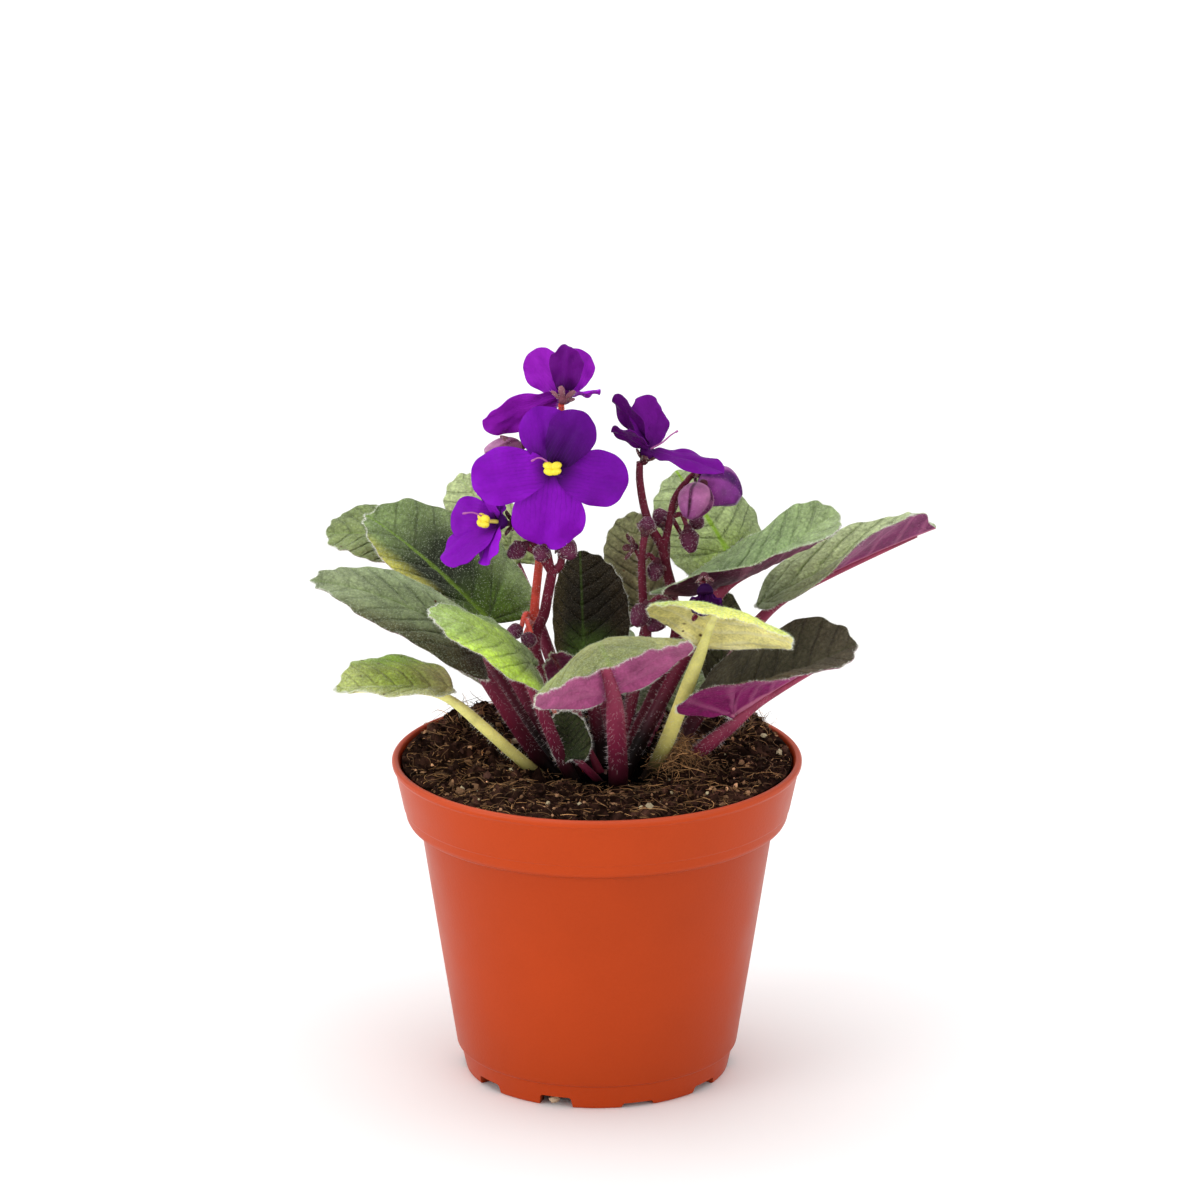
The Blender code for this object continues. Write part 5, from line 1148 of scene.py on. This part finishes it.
# base: where the stalk leaves the crown, as degrees round it and up its dome. branches: the radii at both
# ends, and points that the branch runs through; the first one starts at the crown. buds: foot, tip and
# radius. calyxes: where the cup sits, which way it faces, how far its sepals spread and how far they reach.
FLOWER_STALKS = {
    "left": dict(
        base=(195, 80), colour="maroon",
        branches=(
            ((1.7, 1.5), ((-17.2, -2, 125.4), (-15, -4, 141.2), (-13, -6, 153))),
            ((1.2, 0.8), ((-13, -6, 153), (-16.4, -7, 158.4), (-21, -6, 161.2))),
            ((1, 0.8), ((-15.6, -7, 157.8), (-19.8, -5, 163.6), (-24.6, -6, 168))),
            ((1.1, 0.8), ((-13, -6, 153), (-13.8, -7, 157.8), (-15, -8, 161.6))),
            ((1.3, 1), ((-13, -6, 153), (-10.4, -6, 156), (-10.4, -6, 163))),
            ((1, 0.9), ((-10.4, -6, 158.2), (-10.6, -3, 168), (-12.4, -9, 185.6))),
        ),
        buds=(
            ((-21, -6, 161.2), (-25.6, -8, 158.6), 2.4),
            ((-15, -8, 161.4), (-17, -10, 157.8), 2.4),
            ((-10.4, -6, 162.6), (-6.6, -9, 158.4), 2.9),
        ),
        calyxes=(
            ((-12.4, -9, 185.6), (-0.05, -0.97, 0.22), 3.2, 0.4),
            ((-24.6, -6, 168), (-0.84, -0.5, 0.2), 3.4, 1.2),
            ((-21, -6, 161.2), (-1, 0, -0.5), 2.6, 1.8),
            ((-15, -8, 161.4), (-0.4, -0.3, -1), 2.6, 1.8),
            ((-10.4, -6, 162.6), (0.7, -0.3, -1), 3, 2),
        ),
    ),
    "coral": dict(
        base=(170, 66), colour="coral",
        branches=(
            ((1.6, 0.9), (
                (-19, 3, 125.4), (-18.4, 4, 136.4), (-16.8, 3, 153), (-14.2, 5, 171.8), (-10.6, 4, 193),
                (-10.2, -0.8, 202),
            )),
            ((0.8, 0.7), ((-13.6, 5, 176.2), (-17, 4, 183.4), (-19.4, 0.8, 189.6))),
            ((0.8, 0.7), ((-18.4, 4, 135.6), (-20.6, 0, 138.8), (-22, -6, 136.4))),
            ((0.8, 0.7), ((-18.6, 4, 134.2), (-20.2, -3, 137.6), (-19, -9, 135.4))),
        ),
        buds=(
            ((-22, -6, 136.4), (-26, -8, 134.6), 2.2),
            ((-19, -9, 135.4), (-20.8, -12, 132.4), 2.2),
        ),
        calyxes=(
            ((-9.7, 0, 203.4), (0.15, 0.7, 0.6), 3.4, 1.8),
            ((-22.2, 0.4, 189.3), (-0.95, -0.2, 0.02), 3, 5),
        ),
    ),
    "right": dict(
        base=(350, 78), colour="maroon",
        branches=(
            ((1.8, 1), (
                (22, 6, 126), (22.2, 6, 141.2), (20.2, 6, 151), (19, 6, 157.2), (15.6, 5, 163.6),
                (13.6, 5, 170), (12.4, 4, 178), (12.4, 3.8, 183.6),
            )),
            ((1.2, 0.8), (
                (19.2, 6, 155.4), (21.2, 6, 165.8), (22.4, 5, 171.8), (24.4, 4.6, 175.6), (26.2, 5.2, 177.6),
            )),
            ((0.8, 0.7), ((21.6, 6, 166.4), (24.6, 6, 167), (26.4, 5, 162.8))),
            ((0.9, 0.8), ((21.6, 6, 167.2), (26, 12, 175.2), (29.2, 13, 178))),
            ((0.8, 0.7), ((20.4, 6, 151.6), (20.6, 9, 158.6), (19.8, 9, 162.8))),
            ((0.7, 0.6), ((21.6, 6, 166.4), (26, 11, 158), (28.2, 12, 161.2))),
            ((0.9, 0.8), ((21.8, 6, 142.4), (25.2, -10, 141.6), (28.2, -24, 145.4), (30.5, -26.4, 157))),
            ((0.8, 0.7), ((22.2, 6, 139.4), (18.4, -1, 144.2), (14.2, -6, 143))),
            ((0.8, 0.7), ((22.2, 6, 137.6), (21.8, 0, 141.4), (19.4, -3, 139.4))),
        ),
        buds=(
            ((26.4, 5, 162.8), (27.6, 3, 156.4), 2.6),
            ((19.8, 9, 162.8), (17.4, 10, 167.6), 2.6),
            ((28.2, 12, 161.2), (30, 13, 165.2), 2.2),
            ((14.2, -6, 143), (10.8, -8, 137.6), 3),
            ((19.4, -3, 139.4), (15.2, -5, 135.4), 2.6),
        ),
        calyxes=(
            ((13.8, 3.4, 184.5), (0.3, -0.2, 0.93), 3, 2.4),
            ((30.7, 4.2, 176.5), (-0.3, -0.2, -0.9), 3.6, 3.6),
            ((29.2, 13, 178), (0.81, -0.36, -0.47), 3, 1.4),
            ((30.7, -26.2, 157.6), (0.05, -0.45, -0.89), 2.4, 1),
            ((26.4, 5, 162.8), (0.1, 0, -1), 2.8, 2),
            ((14.2, -6, 143), (-0.4, -0.2, -1), 3, 2),
            ((19.8, 9, 162.8), (-0.3, 0, 1), 2.8, 2),
        ),
    ),
    "middle": dict(
        base=(290, 76), colour="maroon",
        branches=(
            ((1.5, 1), ((14, -1, 128.2), (13.4, 0, 143), (13, 0, 155.8), (14, 1, 163))),
            ((0.8, 0.7), ((13, 0, 155.2), (15.2, 2, 156), (17.2, 3, 153.4))),
            ((0.7, 0.6), ((13, 0, 154.6), (11.6, 1, 157.2), (10.8, 1.4, 158.2))),
        ),
        buds=(
            ((17.2, 3, 153.4), (16.6, 2, 148.2), 2.4),
            ((14, 1, 163), (15, 2, 167.6), 2.4),
        ),
        calyxes=(
            ((10.4, 1.6, 158.6), (-1, -0.3, 0.2), 3.6, 1.6),
            ((14, 1, 163), (0.2, 0, 1), 2.8, 2),
            ((17.2, 3, 153.4), (0, 0, -1), 2.6, 2),
        ),
    ),
}


def through(points, count):
    """A curve through all the points: cubic between neighbours, its slope at each from those beside it."""
    points = np.array(points, float)
    slopes = np.gradient(points, axis=0)
    place = np.linspace(0, len(points) - 1, count)
    left = np.minimum(place.astype(int), len(points) - 2)
    t = (place - left)[:, None]
    a, b, da, db = points[left], points[left + 1], slopes[left], slopes[left + 1]
    leaving = (2 * t**3 - 3 * t**2 + 1) * a + (t**3 - 2 * t**2 + t) * da
    return leaving + (3 * t**2 - 2 * t**3) * b + (t**3 - t**2) * db


def bud_rings(base, tip, radius, folds, depth, twist, sides=40, count=20):
    """Rings of a bud: fat below its middle and closed at its tip. Each petal's edge lies over the next, so
    the radius climbs across each fold and drops sharply at its edge, and the folds wind round."""
    base, tip = np.array(base, float), np.array(tip, float)
    axis = unit(tip - base)
    across = unit(np.cross(axis, (0.2, 0.3, 0.93)))
    other = np.cross(axis, across)
    share = np.linspace(-0.06, 1.0, count)[:, None]
    fat = np.sin(math.pi * np.clip(share + 0.06, 0, 1.06) ** 0.72 / 1.09) ** 0.62
    turn = np.linspace(0, 2 * math.pi, sides, endpoint=False)[None]
    fold = (turn * folds / (2 * math.pi) + twist * share) % 1.0
    lap = depth * (fold ** 1.5 - 6 * np.clip(fold - 0.86, 0, 1)) * np.clip(share * 2.5, 0.25, 1)
    reach = radius * fat * (1 + lap)
    out = np.cos(turn)[..., None] * across + np.sin(turn)[..., None] * other
    return base + (tip - base) * share[..., None] + reach[..., None] * out, fold, share


def outwards(rings):
    """The way out from each ring's middle."""
    return unit(rings - rings.mean(1, keepdims=True))


CUP = np.array([  # the cup's profile: radius and height
    (0.2, -1.7), (0.9, -1.5), (1.25, -0.8), (1.3, -0.1), (0.9, 0.5), (0.2, 0.7),
])


def sepals(base, axis, spread, reach, tints):
    """Five narrow pointed leaves from a small cup: each a blade from the cup to its tip, a fifth of a turn
    from the next, bent outwards along its length. tints gives the foot's and the tip's."""
    foot_tint, tip_tint = np.array(tints[0]), np.array(tints[1])

    def tints_of(across, share, reach):
        """Even from the foot's tint to the tip's, and a tenth darker on the lower face."""
        tint = foot_tint + (tip_tint - foot_tint) * np.clip(share, 0, 1)[:, None]
        return np.column_stack([tint, tint[:, 0] * 0]), np.column_stack([tint * 0.9, tint[:, 0] * 0])

    base, axis = np.array(base, float), unit(np.array(axis, float))
    across = unit(np.cross(axis, (0.35, 0.2, 0.91)))
    other = np.cross(axis, across)
    made, rims = [], []
    for turn in 2 * math.pi * np.arange(5) / 5 + 0.3:
        out = math.cos(turn) * across + math.sin(turn) * other
        beside = np.cross(axis, out)
        foot = base + 0.35 * out - 0.5 * axis
        tip = base + spread * 1.12 * out + reach * 1.1 * axis
        middle = foot + (tip - foot) * SIDE_STATION + 0.25 * axis
        wide = 0.22 * np.linalg.norm(tip - foot)
        left, right = middle + beside * wide, middle - beside * wide
        blade = Blade(foot, tip, left, right, droop=-24, curl=(38, 38), leafy=False)
        piece, rings, normal = sheet(
            blade, np.linspace(-math.pi, math.pi, 22, endpoint=False), np.linspace(0, 1, 6)[1:],
            lambda reach: 0.5 - 0.25 * reach,
            lambda reach, turn, across, share: -0.12 * np.exp(-(across / 0.2) ** 2), tints_of,
        )
        piece["coat"] = piece["coat"] * 0
        made.append(piece)
        rims.append((rings, normal))
    turn = np.linspace(0, 2 * math.pi, 20, endpoint=False)
    ring = np.cos(turn)[:, None] * across + np.sin(turn)[:, None] * other
    cup_rings = base + CUP[:, 0, None, None] * ring + CUP[:, 1, None, None] * axis
    made.append(skin(cup_rings, tint=foot_tint))
    return made, rims


FLOWER_TINTS = {  # near the crown, further up, and the sepals' foot and tip
    "maroon": ((0.120, 0.008, 0.024), (0.135, 0.010, 0.030), (0.075, 0.012, 0.025), (0.150, 0.050, 0.060)),
    "coral": ((0.800, 0.095, 0.048), (0.600, 0.070, 0.050), (0.180, 0.050, 0.075), (0.340, 0.130, 0.170)),
}
flower_random = np.random.default_rng(37)
bud_finish = tinted_finish(
    "bud_skin", 0.35, 500.0, 1600.0, 0.3, rough=(0.4, 0.55), specular_ior_level=0.2, sheen_weight=0.1,
    sheen_roughness=0.4,
)

for name, row in FLOWER_STALKS.items():
    low_tint, high_tint, cup_tint, sepal_tint = FLOWER_TINTS[row["colour"]]
    start, _ = on_crown(*row["base"], -1.0)
    shells, coats = [], []
    for number, (radii, controls) in enumerate(row["branches"]):
        route = [start, *controls] if number == 0 else controls
        path = through(route, 9 * (len(route) - 1) + 1)
        thick = np.linspace(radii[0], radii[1], len(path))
        rings = tubes(path, thick, 14)
        climb = np.clip((path[:, 2] - 90) / 60, 0, 1)[:, None, None]
        tint = np.array(low_tint) + (np.array(high_tint) - low_tint) * climb
        shells.append(skin(rings, tint=tint * (1 + 0.2 * lumps(rings, 2.5, 51)[..., None])))
        length = np.linalg.norm(np.diff(path, axis=0), axis=1).sum()
        coats.append(coat_of_hairs(
            rings, unit(rings - path[:, None]), int(length * (12 if thick[0] > 1.2 else 9)), flower_random,
            0.13, (0.5, 1.2), 0.034, (0.82, 0.68, 0.70), lift=-0.04, above=96,
        ))
    for base, tip, radius in row["buds"]:
        rings, fold, share = bud_rings(base, tip, radius * 0.96, 5, 0.20, 0.6)
        # The blush fades at each fold's edge: painted shade in the crease.
        edge = np.clip((fold - 0.7) / 0.3, 0, 1)[..., None]
        blush = np.array([0.080, 0.018, 0.055]) * np.clip(share, 0, 1)[..., None] * (1 - 0.6 * edge)
        shells.append(skin(rings, tint=np.array([0.060, 0.007, 0.020]) + blush))
        coats.append(coat_of_hairs(
            rings, outwards(rings), 260, flower_random, 0.3, (0.3, 0.8), 0.040, (0.84, 0.70, 0.74),
        ))
    for base, axis, spread, reach in row["calyxes"]:
        made, rims = sepals(base, axis, spread, reach, (cup_tint, sepal_tint))
        shells += made
        for rings, normal in rims:
            for side in (normal, -normal):
                coats.append(coat_of_hairs(
                    rings, side, 42, flower_random, 0.5, (0.3, 0.8), 0.040, (0.84, 0.70, 0.70),
                ))
    set_out(f"flower_stalk_{name}_branched", shells, [stalk_finish], [f"flower_stalk_{name}"])
    set_out(f"flower_stalk_{name}_hairs", coats, [hair_finish])


# ---- The blooms -----------------------------------------------------------------------------------
# Five velvety violet petals joined in a short tube, two smaller above and three larger below, each
# thin, slightly crumpled and darker towards the throat, with fine veins that run out from it.

# centre, facing: the middle of the throat and the way it opens. anthers: how far out they stand, and 0
# where none show. petals: the tip, how wide, how many degrees it rolls about its length, and how many its
# halves bend across it.
BLOOMS = {
    "front": dict(
        centre=(-12.6, -13, 186.4), facing=(-0.05, -0.97, 0.22), anthers=2.6,
        petals=(
            ((-16.6, -8.5, 203.6), 14, 0, -10),
            ((-3.7, -14, 203.3), 13.5, 0, -18),
            ((-36.1, -12, 182.3), 16.2, 0, -14),
            ((8.9, -12, 181.1), 16, 0, -14),
            ((-14.7, -9, 161.4), 20.5, 0, -14),
        ),
    ),
    "top": dict(
        centre=(-9.4, 3, 203.4), facing=(0.15, 0.9, 0.35), anthers=0,
        petals=(
            ((-19, 7, 215.5), 13.5, 0, -14),
            ((-8.3, -3, 219.9), 9.5, 0, -30),
            ((-4.3, 9, 215.6), 11, 0, -14),
            ((0.9, 6, 203.9), 9, 45, -14),
            ((-32.5, -1, 195.3), 11, 0, -14),
        ),
    ),
    "left": dict(
        centre=(-28.2, -8, 169), facing=(-0.85, -0.5, 0.2), anthers=5.2,
        petals=(
            ((-42.1, -4, 168.6), 13.5, 0, -14),
            ((-44.3, -11, 157.8), 12, 0, -14),
            ((-32.5, -14, 157.8), 9.5, 0, -20),
            ((-33.4, -5, 178.8), 7, 0, -20),
            ((-27.9, -5, 174.6), 6, 0, -14),
        ),
    ),
    "right": dict(
        centre=(14.8, 3, 187.1), facing=(0.35, -0.2, 0.9), anthers=0,
        petals=(
            ((5.5, 4, 203.8), 8, 65, -14),
            ((5.2, -4, 196.2), 8, 45, -14),
            ((14.2, 9, 202.2), 11.5, 0, -14),
            ((36.9, -2, 182.8), 8.6, 12, -14),
            ((18, 9, 197.7), 8, 0, -14),
        ),
    ),
    "shaded": dict(
        centre=(30.9, -28, 153.8), facing=(0.05, -0.45, -0.9), anthers=0,
        petals=(
            ((27, -28, 148.8), 7.2, 0, -14),
            ((31.1, -31.6, 147.9), 8.4, 0, -14),
            ((34.9, -28, 148.8), 7.2, 0, -14),
            ((33, -23.7, 148.3), 7.2, 0, -14),
            ((28.9, -23.7, 148.3), 7.2, 0, -14),
        ),
    ),
}


def make_petal_skin():
    """Tint darkened by fine veins: stripes of equal width across the petal that waver a little and fade
    towards the margin, over a coarse mottle."""
    group, given, out = new_group(
        "petal_skin", {"Tint": "Color", "Veins": "Float"}, {"Colour": "Color", "Height": "Float"},
    )
    place = add_node(group, "TexCoord").outputs
    chart = add_node(group, "SeparateXYZ", {0: place["UV"]}).outputs
    wander = reckon(group, "MULTIPLY", noise(group, place["Object"], 240.0, 2.0), 1.4)
    steps = reckon(group, "ADD", reckon(group, "MULTIPLY", chart[0], 16.0), wander)
    vein = fade(group, near_line(group, steps), 0.70, 0.98)
    vein = reckon(group, "MULTIPLY", vein, fade(group, chart[1], 0.95, 0.35))
    coat = mottled(group, given["Tint"], 0.30, 140.0, 900.0)
    veins = reckon(group, "MULTIPLY", vein, given["Veins"])
    group.links.new(mixed(group, veins, coat["Colour"], (0.09, 0.004, 0.20, 1)), out["Colour"])
    group.links.new(reckon(group, "MULTIPLY_ADD", vein, -0.5, coat["Height"]), out["Height"])
    return group


petal_finish, tree, shader = new_finish(
    "petal_velvet", roughness=0.55, specular_ior_level=0.06, sheen_weight=0.08, sheen_roughness=0.35,
    sheen_tint=(0.6, 0.2, 1, 1),
)
values = {"Tint": mesh_tint(tree)["Color"], "Veins": 0.35}
face = add_node(tree, "Group", values, node_tree=make_petal_skin()).outputs
show(tree, shader, face["Colour"], face["Height"], 0.45, 0.0003)

# The blooms are all one violet: the differences between their tints are painted light and shade, darkest for
# the shaded bloom.
BLOOM_TINTS = {  # the open petal's, the shaded petal's and the throat's
    "front": ((0.205, 0.005, 0.420), (0.150, 0.005, 0.290), (0.020, 0.001, 0.045)),
    "top": ((0.300, 0.012, 0.500), (0.290, 0.011, 0.450), (0.100, 0.006, 0.150)),
    "left": ((0.180, 0.005, 0.360), (0.190, 0.007, 0.330), (0.040, 0.002, 0.085)),
    "right": ((0.150, 0.004, 0.240), (0.135, 0.005, 0.200), (0.070, 0.004, 0.105)),
    "shaded": ((0.050, 0.003, 0.085), (0.035, 0.002, 0.060), (0.020, 0.001, 0.035)),
}
# How bright each petal is, is painted light and shade.
PETAL_LIGHT_AND_THROAT = {  # for each petal: how bright it is, and how far out the throat's dark reaches
    "front": ((0.72, 0.70), (0.44, 0.95), (0.92, 0.30), (0.72, 0.42), (1.08, 0.28)),
    "top": ((1.0, 0.4), (0.42, 0.5), (1.0, 0.4), (1.2, 0.3), (1.0, 0.4)),
    "left": ((1.0, 0.35), (1.0, 0.35), (1.5, 0.30), (1.3, 0.3), (0.8, 0.4)),
    "right": ((0.75, 0.5), (0.8, 0.5), (0.85, 0.45), (0.95, 0.35), (0.75, 0.4)),
    "shaded": ((1, 0.5),) * 5,
}
petal_turns = np.linspace(-math.pi, math.pi, 96, endpoint=False)
petal_reaches = np.linspace(0, 1, 15)[1:] ** 0.9

THROAT = np.array([(-2.4, 1.1), (-1.6, 1.9), (-0.8, 2.3), (0.0, 2.4), (0.5, 2.3)])  # how far out, radius

for name, row in BLOOMS.items():
    centre, facing = np.array(row["centre"], float), unit(np.array(row["facing"], float))
    bright, shaded, throat_tint = (np.array(tint) for tint in BLOOM_TINTS[name])
    rings = tubes(centre + facing * THROAT[:, :1], THROAT[:, 1], 24)
    shells = [skin(rings, tint=throat_tint)]
    for number, (tip, width, roll, curl) in enumerate(row["petals"]):
        light, dark_to = PETAL_LIGHT_AND_THROAT[name][number]
        tip = np.array(tip, float)
        along = unit(tip - centre)
        across = unit(np.cross(facing, along))
        above = np.cross(along, across)
        tilt = math.radians(roll)
        across = across * math.cos(tilt) + above * math.sin(tilt)
        foot = centre + along * 0.8
        middle = foot + (tip - foot) * SIDE_STATION
        left, right = middle + across * width / 2, middle - across * width / 2
        blade = Blade(foot, tip, left, right, droop=22, curl=(curl, curl), leafy=False)
        length = blade.length

        def relief(reach, turn, across, share):
            """Crumpling: a groove along the middle, a ripple along the margin, and soft dents."""
            groove = -0.030 * length * np.exp(-(across / 0.22) ** 2) * np.clip(share * 3, 0, 1)
            ripple = 0.032 * length * reach ** 4 * np.sin(5 * turn + 1.7 * number)
            ripple = ripple * np.clip(share * 1.6, 0, 1)
            flat = np.column_stack([across * 9, share * 14, 0 * share + number + centre[0]])
            return groove + ripple + 0.022 * length * lumps(flat, 2.6, 61)

        def tints(across, share, reach):
            """The petal's tint, a little brighter round the margin, and the throat's over a smooth step
            towards the foot; below it is the shaded tint. The fourth value is how near the throat is."""
            near = eased(1 - (share + 0.12 * np.abs(across)) / dark_to, 0, 1)[:, None]
            edge = np.clip((reach - 0.75) / 0.25, 0, 1)[:, None]
            tint = bright * light * (1 + 0.12 * edge)
            tint = tint + (throat_tint - tint) * near
            under = shaded * light + (throat_tint - shaded) * near * 0.5
            return np.column_stack([tint, near]), np.column_stack([under, near])

        piece, _, _ = sheet(
            blade, petal_turns, petal_reaches, lambda reach: 0.45 - 0.22 * reach, relief, tints,
            toothed=0.016, wave=0.4, count=5,
        )
        piece["coat"] = piece["coat"] * 0
        shells.append(piece)
    set_out(f"bloom_{name}_petals", shells, [petal_finish], [f"bloom_{name}_corolla"], crease=80)


# ---- The anthers and styles -----------------------------------------------------------------------
# At the middle of an open bloom two pairs of glossy yellow pollen lobes sit on a short filament, and
# beside them a thin mauve style curves out to a tiny knob.

pollen_finish = tinted_finish(
    "pollen", 0.18, 700.0, 3000.0, 0.35, rough=(0.35, 0.5), specular_ior_level=0.45,
)
style_finish = tinted_finish("style", 0.2, 700.0, 3000.0, 0.1, rough=(0.35, 0.5))
LOBES = ((-1.1, 0.7, 0.0), (1.1, 0.8, 0.2), (-0.9, -0.9, 0.1), (1.0, -0.8, 0.0))  # aside, up and out
STYLES = {  # from the bloom's middle: to the right, back and up, in millimetres
    "front": [(-0.5, -1.0, 0.8), (-2.0, -2.4, 2.9), (-4.0, -3.0, 3.9), (-6.2, -3.4, 3.0)],
    "left": [(-1.0, -0.8, 0.2), (-4.0, -2.2, 1.8), (-7.2, -3.2, 3.6), (-10.4, -3.8, 3.5)],
    "right": [(0.8, -1.2, 1.0), (4.0, -2.6, 3.2), (6.6, -3.0, 5.6), (8.6, -3.2, 6.9)],
}


def egg(centre, axis, across, long, wide, sides=20, count=12):
    """An egg along an axis: at each angle from end to end its ring's radius is the cosine times its half
    width, with a shallow furrow along one side where the lobe will split."""
    axis = unit(axis)
    across = unit(across - axis * np.dot(across, axis))
    other = np.cross(axis, across)
    rise = np.linspace(-1.45, 1.45, count)[:, None, None]
    turn = np.linspace(0, 2 * math.pi, sides, endpoint=False)[None, :, None]
    furrow = 1 - 0.12 * np.exp(-((turn - math.pi) / 0.35) ** 2)
    ring = np.cos(turn) * across + np.sin(turn) * other
    return centre + axis * long * np.sin(rise) + wide * np.cos(rise) * furrow * ring


for name in ("front", "left"):
    row = BLOOMS[name]
    centre, facing = np.array(row["centre"], float), unit(np.array(row["facing"], float))
    across = unit(np.cross((0.0, 0.0, 1.0), facing))
    up = np.cross(facing, across)
    reach = row["anthers"]
    path = centre + facing * np.linspace(0.4, reach, 6)[:, None]
    shells = [skin(tubes(path, np.full(6, 0.6), 12), tint=(0.75, 0.60, 0.10))]
    for side, lift, ahead in LOBES:
        at = centre + facing * (reach + ahead) + across * side + up * lift
        rings = egg(at, across + 0.25 * side * up, up, 1.65, 1.2)
        tint = np.array([0.90, 0.72, 0.035]) * (1 + 0.12 * lumps(rings, 0.8, 71)[..., None])
        shells.append(skin(rings, tint=tint))
    set_out(f"bloom_{name}_pollen", shells, [pollen_finish], [f"bloom_{name}_anthers"])

for name, route in STYLES.items():
    route = np.array(BLOOMS[name]["centre"], float) + route
    path = through(route, 25)
    thick = np.interp(np.linspace(0, 1, 25), [0, 0.85, 0.93, 1], [0.30, 0.20, 0.38, 0.22])
    style = skin(tubes(path, thick, 12), tint=(0.42, 0.10, 0.34))
    set_out(f"bloom_{name}_style", [style], [style_finish])


# ---- The coloured buds ----------------------------------------------------------------------------
# Three buds about to open: a slim pink-white one, a round mauve one, and a large violet one whose
# petals have begun to loosen.

COLOURED_BUDS = {  # foot, tip and radius
    "pink": ((-22.2, 0, 189.4), (-32.2, -3, 188.4), 3.1),
    "mauve": ((30.4, 4, 176.3), (26.3, -1, 168.1), 4.6),
    "purple": ((30.8, 12, 177), (41.2, 8, 170.9), 5.5),
}

# The folded edges' dark tint is painted shade in the creases where one petal laps over the next.
BUD_TINTS = {  # the petals' backs, their folded edges and the tip
    "pink": ((0.34, 0.11, 0.23), (0.12, 0.02, 0.07), (0.48, 0.22, 0.40)),
    "mauve": ((0.44, 0.14, 0.33), (0.10, 0.012, 0.070), (0.28, 0.06, 0.24)),
    "purple": ((0.27, 0.050, 0.27), (0.080, 0.005, 0.120), (0.17, 0.017, 0.21)),
}
BUD_FOLDS = {  # how many folds, how deep, and how many turns they wind
    "pink": (3, 0.22, 0.5), "mauve": (4, 0.24, 0.35), "purple": (3, 0.42, 0.55),
}

for name, (base, tip, radius) in COLOURED_BUDS.items():
    folds, depth, twist = BUD_FOLDS[name]
    rings, fold, share = bud_rings(base, tip, radius, folds, depth, twist, sides=72, count=34)
    back, edge, end = (np.array(tint) for tint in BUD_TINTS[name])
    # Painted shade along each fold's edge.
    near_edge = np.clip((fold - 0.80) / 0.08, 0, 1) + np.clip((0.07 - fold) / 0.07, 0, 1)
    near_edge = near_edge[..., None].clip(0, 1)
    tint = back + (end - back) * np.clip(share * 1.3 - 0.3, 0, 1)[..., None]
    tint = tint * (1 + 0.25 * lumps(rings, 1.4, 81)[..., None]) + (edge - tint) * near_edge
    coat = coat_of_hairs(
        rings, outwards(rings), 420, flower_random, 0.3, (0.25, 0.6), 0.024, (0.74, 0.54, 0.68),
    )
    set_out(f"bud_{name}_folded", [skin(rings, tint=tint)], [bud_finish], [f"bud_{name}"])
    set_out(f"bud_{name}_hairs", [coat], [hair_finish])


# ---- The floor, the light and the camera ----------------------------------------------------------
# A plain pale floor under soft white light from all round, and a long lens a little above the plant.

floor_finish, _, _ = new_finish(
    "pale_floor", base_color=(0.97, 0.97, 0.97, 1), roughness=0.8, specular_ior_level=0.1,
)
floor = bpy.data.objects.new("floor", bpy.data.meshes.new("floor"))
floor.data.from_pydata([(-4, -3, 0), (4, -3, 0), (4, 6, 0), (-4, 6, 0)], [], [(0, 1, 2, 3)])
floor.data.materials.append(floor_finish)
bpy.context.scene.collection.objects.link(floor)

world = bpy.data.worlds.new("studio")
world.use_nodes = True
world.node_tree.nodes["Background"].inputs["Color"].default_value = (1, 1, 1, 1)
world.node_tree.nodes["Background"].inputs["Strength"].default_value = 0.72
bpy.context.scene.world = world


def soft_light(name, place, size, watts):
    """A large square lamp at a place, turned to face the plant."""
    lamp = bpy.data.lights.new(name, "AREA")
    lamp.size, lamp.energy = size, watts
    made = bpy.data.objects.new(name, lamp)
    made.location = place
    made.rotation_mode = "QUATERNION"
    from_lamp = np.array([0, 0, 0.12]) - np.array(place)
    made.rotation_quaternion = Vector(from_lamp).to_track_quat("-Z", "Y")
    bpy.context.scene.collection.objects.link(made)


soft_light("above", (-0.3, 0.6, 4.2), 5.0, 110)
soft_light("front_left", (-1.9, -1.1, 0.35), 1.2, 26)
soft_light("front_right", (1.4, -1.6, 0.35), 1.2, 12)

CAMERA_DISTANCE = 1.8
camera = bpy.data.objects.new("camera", bpy.data.cameras.new("camera"))
bpy.context.scene.collection.objects.link(camera)
bpy.context.scene.camera = camera
down_tilt = math.radians(16.9)
aim = POT_AXIS + [0.0009, 0.0, 0.143]
camera.location = aim + CAMERA_DISTANCE * np.array([0, -math.cos(down_tilt), math.sin(down_tilt)])
camera.rotation_euler = (math.pi / 2 - down_tilt, 0, 0)
camera.data.sensor_width = 36
camera.data.lens = 185.98
camera.data.clip_end = 50
bpy.context.scene.view_settings.view_transform = "Standard"
